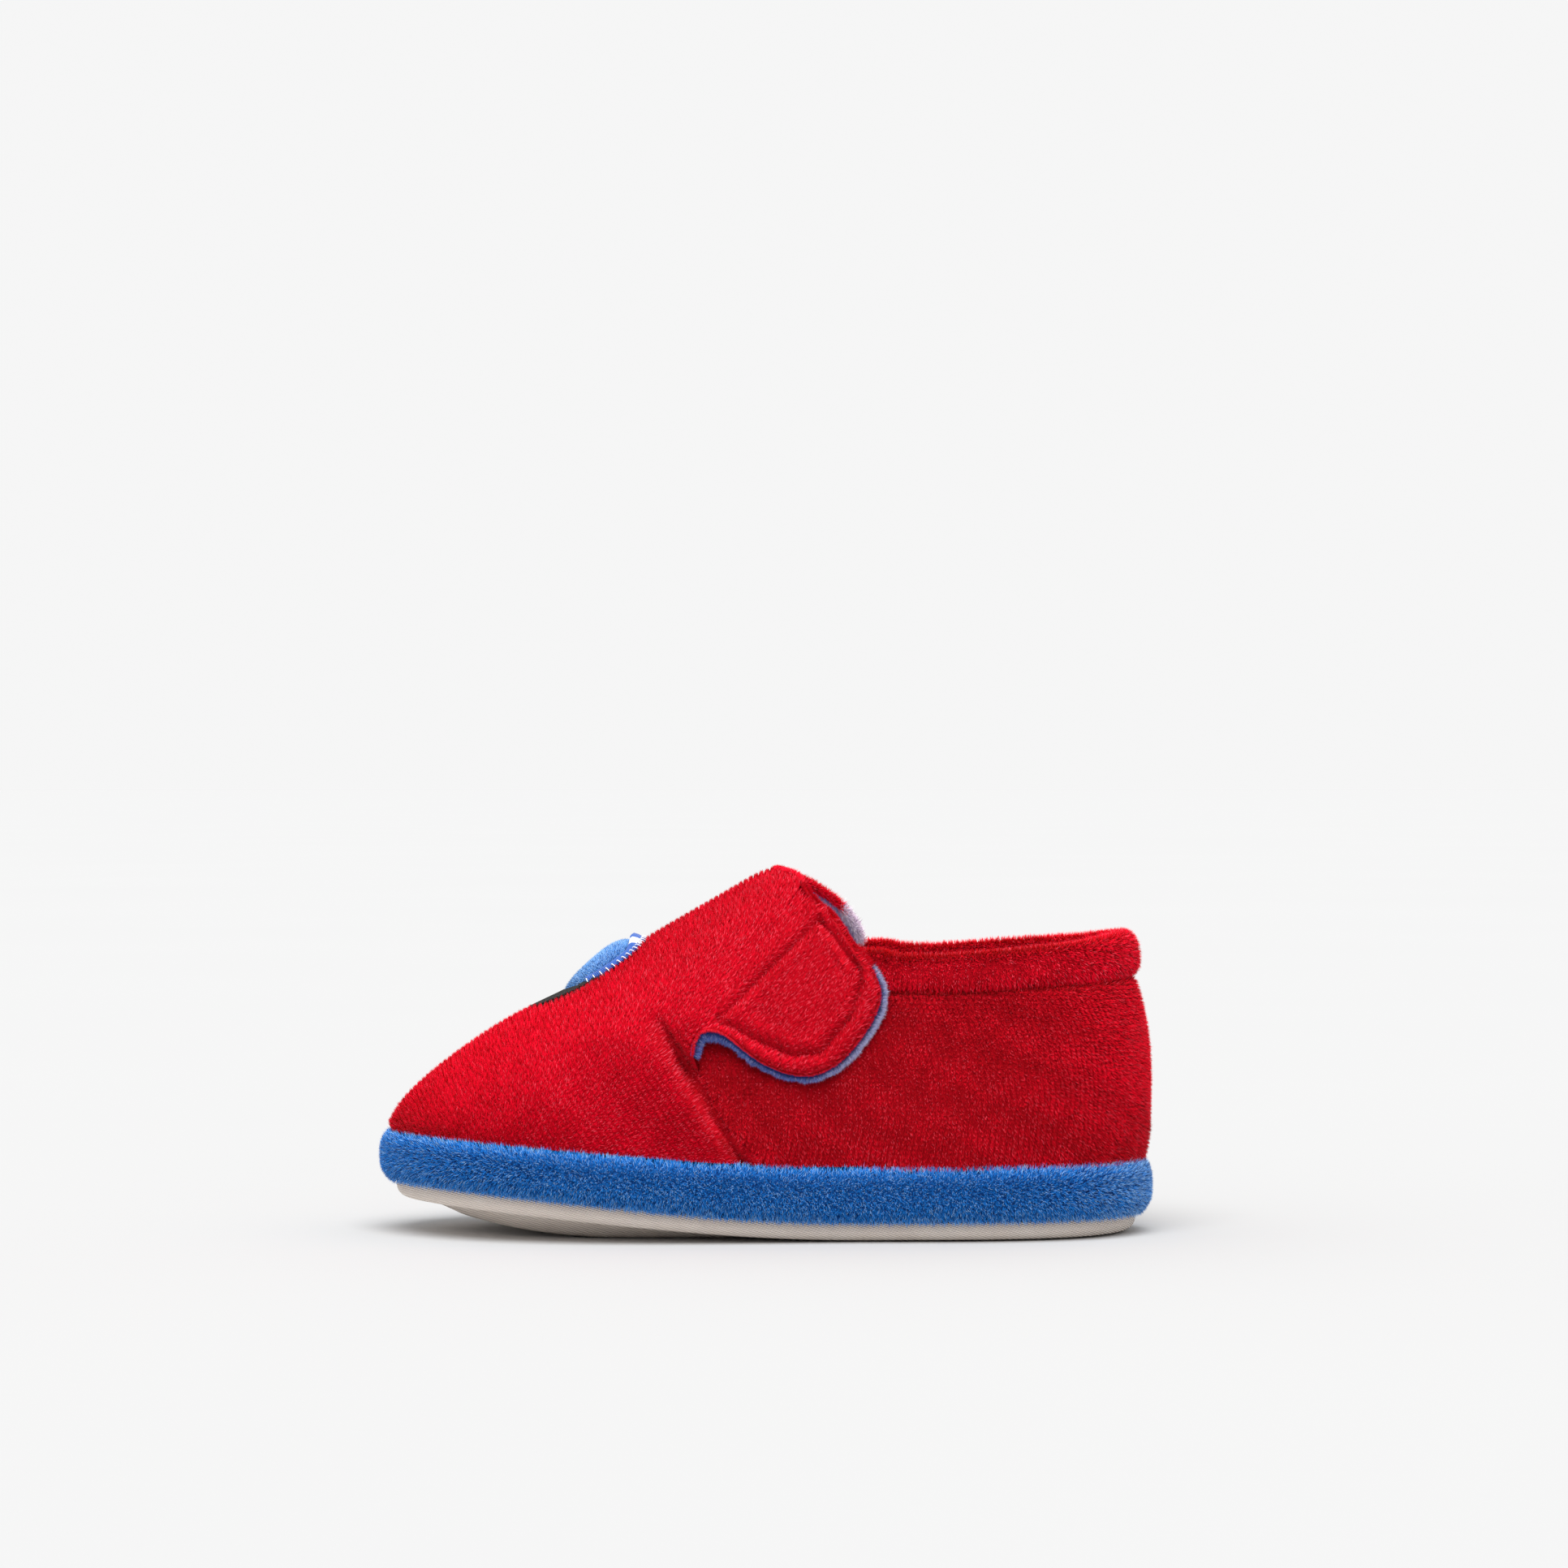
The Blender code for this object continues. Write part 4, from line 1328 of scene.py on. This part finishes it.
def pad_plush(count=14000):
    turn = random.uniform(0, 2 * math.pi, count)
    share = np.sqrt(random.uniform(0, 1, count))
    point, onward, upward, normal = oval_frame(PAD_UP, PAD_HALF, share, turn)
    root = point + normal * pad_height(share, turn)[:, None]
    slope = onward * (np.cos(turn) * share)[:, None] + upward * (np.sin(turn) * share)[:, None]
    out = unit(normal * np.sqrt(1.05 - share**2)[:, None] + 0.9 * slope)
    nap = unit(np.cross(out, np.cross(onward, out)))
    return pile(
        "applique_pad_pile", root, out, nap, sky_pile, length=0.8, width=0.14,
        lean=0.4, splay=1.6, tint=shades(count, 0.3),
    )


def stitches(name, starts, ends, finish, thickness, lift):
    """Satin stitches: each a rounded thread from start to end, places on the form."""
    count = len(starts)
    steps = np.linspace(0, 1, STITCH_STEPS)
    place = starts[:, None] + steps[None, :, None] * (ends - starts)[:, None]
    point, _, _, normal = frame_of(last_surface, place[..., 0], place[..., 1])
    arch = np.broadcast_to(lift, count)[:, None] * np.sin(math.pi * steps)
    centre = point + normal * (BASE_TOP - 0.2 + arch)[..., None]
    run = unit(centre[:, -1] - centre[:, 0])[:, None]
    side = unit(np.cross(normal, run))
    turns = full_turn(STITCH_SIDES)
    ring = side[:, :, None] * np.cos(turns)[:, None] + normal[:, :, None] * np.sin(turns)[:, None]
    points = centre[:, :, None] + ring * thickness / 2
    first_points = STITCH_STEPS * STITCH_SIDES * np.arange(count)
    faces = grid_faces(STITCH_STEPS, STITCH_SIDES, columns_close=True) + first_points[:, None, None]
    return piece(name, points.reshape(-1, 3), faces.reshape(-1, 4), finish)


def ring_stitches(name, number, reach, chosen, finish, thickness, lift):
    """Satin stitches round the plush round, over a reach given in shares of its half size.

    chosen and lift take the turn from the heel end, and give which are sewn and how high they arch.
    """
    turn = np.linspace(-math.pi, math.pi, number, endpoint=False)
    turn = turn[chosen(np.abs(turn))]
    offset = np.stack([PAD_HALF[0] * np.sin(turn), PAD_HALF[1] * np.cos(turn)], -1)
    inner, outer = ((APPLIQUE_AROUND, PAD_UP) + share * offset for share in reach)
    return stitches(name, inner, outer, finish, thickness, lift(np.abs(turn)))


def ring_lift(turn):
    return 0.75 + 1.3 * smooth((1.1 - turn) / 0.8)


def in_block(turn):
    return (turn > BLOCK_WHITE[0]) & (turn < BLOCK_WHITE[1])


def crescent_stitches():
    """Black satin stitches on the toe side of the oval, laid across it."""
    starts, ends = [], []
    for share in np.linspace(0.99, 0.3, 15):
        number = int(40 * share)
        across = np.linspace(-1, 1, number) * 0.97
        low = BASE_UP - BASE_HALF[1] * share * np.sqrt(1 - across**2)
        around = APPLIQUE_AROUND + BASE_HALF[0] * share * across
        length = 0.012 + 0.006 * random.uniform(-1, 1, number)
        starts.append(np.stack([around, low], -1))
        ends.append(np.stack([around + 0.012 * random.normal(0, 1, number), low + length], -1))
    starts, ends = np.concatenate(starts), np.concatenate(ends)
    from_pad = (ends - (APPLIQUE_AROUND, PAD_UP)) / PAD_HALF
    outside = np.hypot(*from_pad.T) > 1.0
    return stitches("applique_crescent", starts[outside], ends[outside], black_thread, 0.36, 0.16)


oval_piece("applique_ground", BASE_UP, BASE_HALF, GROUND_LAYERS, black_thread, "applique_base")
pad_layers = [(share, pad_height(share, APPLIQUE_TURNS)) for share in PAD_SHARES]
pad = oval_piece("applique_pad_cloth", PAD_UP, PAD_HALF, pad_layers, blue_cloth, "applique_pad")
pad_plush()
ring_stitches(
    "applique_ring_blue", 180, (0.9, 1.3), lambda turn: (turn < RING_END) & ~in_block(turn),
    blue_thread, 0.34, ring_lift,
)
ring_stitches("applique_ring_white", 180, (0.9, 1.3), in_block, white_thread, 0.36, ring_lift)
ring_stitches(
    "applique_dashes_white", 48, (1.2, 1.36), lambda turn: turn < RING_END,
    white_thread, 0.24, lambda turn: 0.7,
)
crescent_stitches()


# Plush inside, where the opening shows it.

def heel_plush(count=40000):
    around = random.uniform(-4.6, 4.6, count) + random.normal(0.0, 0.3, count)
    up = random.uniform(0.02, 1.0, count)
    return wall_plush("lining_plush_heel", around, up, length=1.2, width=0.3, splay=1.2, glint_share=0.25)


def insole_plush(count=38000, shown_from=-45.0):
    """Plush on the footbed, combed towards the toe, from the heel to as far as it shows."""
    around = np.linspace(0, AROUND, 401)
    edge_x, edge_y, _, _ = sole_outline(around, INSOLE_EDGE + 0.5)
    outer, inner = around <= AROUND / 2, around >= AROUND / 2
    x = random.uniform(shown_from, edge_x.max(), count)
    low = np.interp(x, edge_x[outer][::-1], edge_y[outer][::-1])
    high = np.interp(x, edge_x[inner], edge_y[inner])
    y = low + (high - low) * random.uniform(0, 1, count)
    root = np.stack([x, y, platform_top(x) + GAP + INSOLE_HEIGHT - 0.1], -1)
    towards_toe = np.broadcast_to([-1.0, 0.0, 0.0], root.shape)
    return pile(
        "insole_plush", root, np.broadcast_to(UPRIGHT_AXIS, root.shape), towards_toe, lining_pile,
        length=1.2, width=0.3, lean=0.6, splay=1.2, tint=shades(count, 0.25),
    )


heel_plush()
insole_plush()

# Studio, in metres.

FLOOR_RADIUS = 60.0
FLOOR_SIDES = 96
PAPER_LIGHT = 0.92
ROOM_LIGHT = 0.85
SUN_STRENGTH = 3.3
SUN_ANGLE = math.radians(48)
SUN_TILT = math.radians(28)
CAMERA_PLACE = (0.0036, -0.9, 0.0866)
FRAME_WIDTH = 0.3043
SENSOR = 36.0


def backdrop():
    """Pale floor, wide enough to run out of sight."""
    turn = full_turn(FLOOR_SIDES)
    ring = FLOOR_RADIUS * np.stack([np.cos(turn), np.sin(turn), np.zeros(FLOOR_SIDES)], -1)
    finish = Finish("studio_floor", Roughness=0.9, Specular_IOR_Level=0.0)
    paper = finish.noise(400.0)
    finish.feed("Base Color", finish.mix(paper, (0.515, 0.515, 0.515, 1.0), (0.525, 0.525, 0.525, 1.0)))
    mesh = bpy.data.meshes.new("floor")
    mesh.from_pydata(ring.tolist(), [], [list(range(FLOOR_SIDES))])
    mesh.materials.append(finish.material)
    made = bpy.data.objects.new("floor", mesh)
    bpy.context.scene.collection.objects.link(made)


def studio_light():
    """A broad soft light from above and in front, in a white room."""
    sun = bpy.data.lights.new("overhead", "SUN")
    sun.energy = SUN_STRENGTH
    sun.angle = SUN_ANGLE
    made = bpy.data.objects.new("overhead", sun)
    made.rotation_euler = (SUN_TILT, 0.0, 0.0)
    bpy.context.scene.collection.objects.link(made)
    world = bpy.data.worlds.new("studio")
    world.use_nodes = True
    nodes, links = world.node_tree.nodes, world.node_tree.links
    seen = nodes.new("ShaderNodeLightPath")
    level = nodes.new("ShaderNodeMapRange")
    level.inputs["To Min"].default_value = ROOM_LIGHT
    level.inputs["To Max"].default_value = PAPER_LIGHT
    links.new(seen.outputs["Is Camera Ray"], level.inputs["Value"])
    nodes["Background"].inputs["Color"].default_value = (1.0, 1.0, 1.0, 1.0)
    links.new(level.outputs["Result"], nodes["Background"].inputs["Strength"])
    bpy.context.scene.world = world
    bpy.context.scene.view_settings.view_transform = "Standard"


def camera():
    """Level, from the outer side, as the photograph was taken."""
    lens = bpy.data.cameras.new("camera")
    lens.sensor_width = SENSOR
    lens.lens = SENSOR * -CAMERA_PLACE[1] / FRAME_WIDTH
    lens.clip_start = 0.01
    viewer = bpy.data.objects.new("camera", lens)
    viewer.location = CAMERA_PLACE
    viewer.rotation_euler = (math.pi / 2, 0.0, 0.0)
    bpy.context.scene.collection.objects.link(viewer)
    bpy.context.scene.camera = viewer


backdrop()
studio_light()
camera()
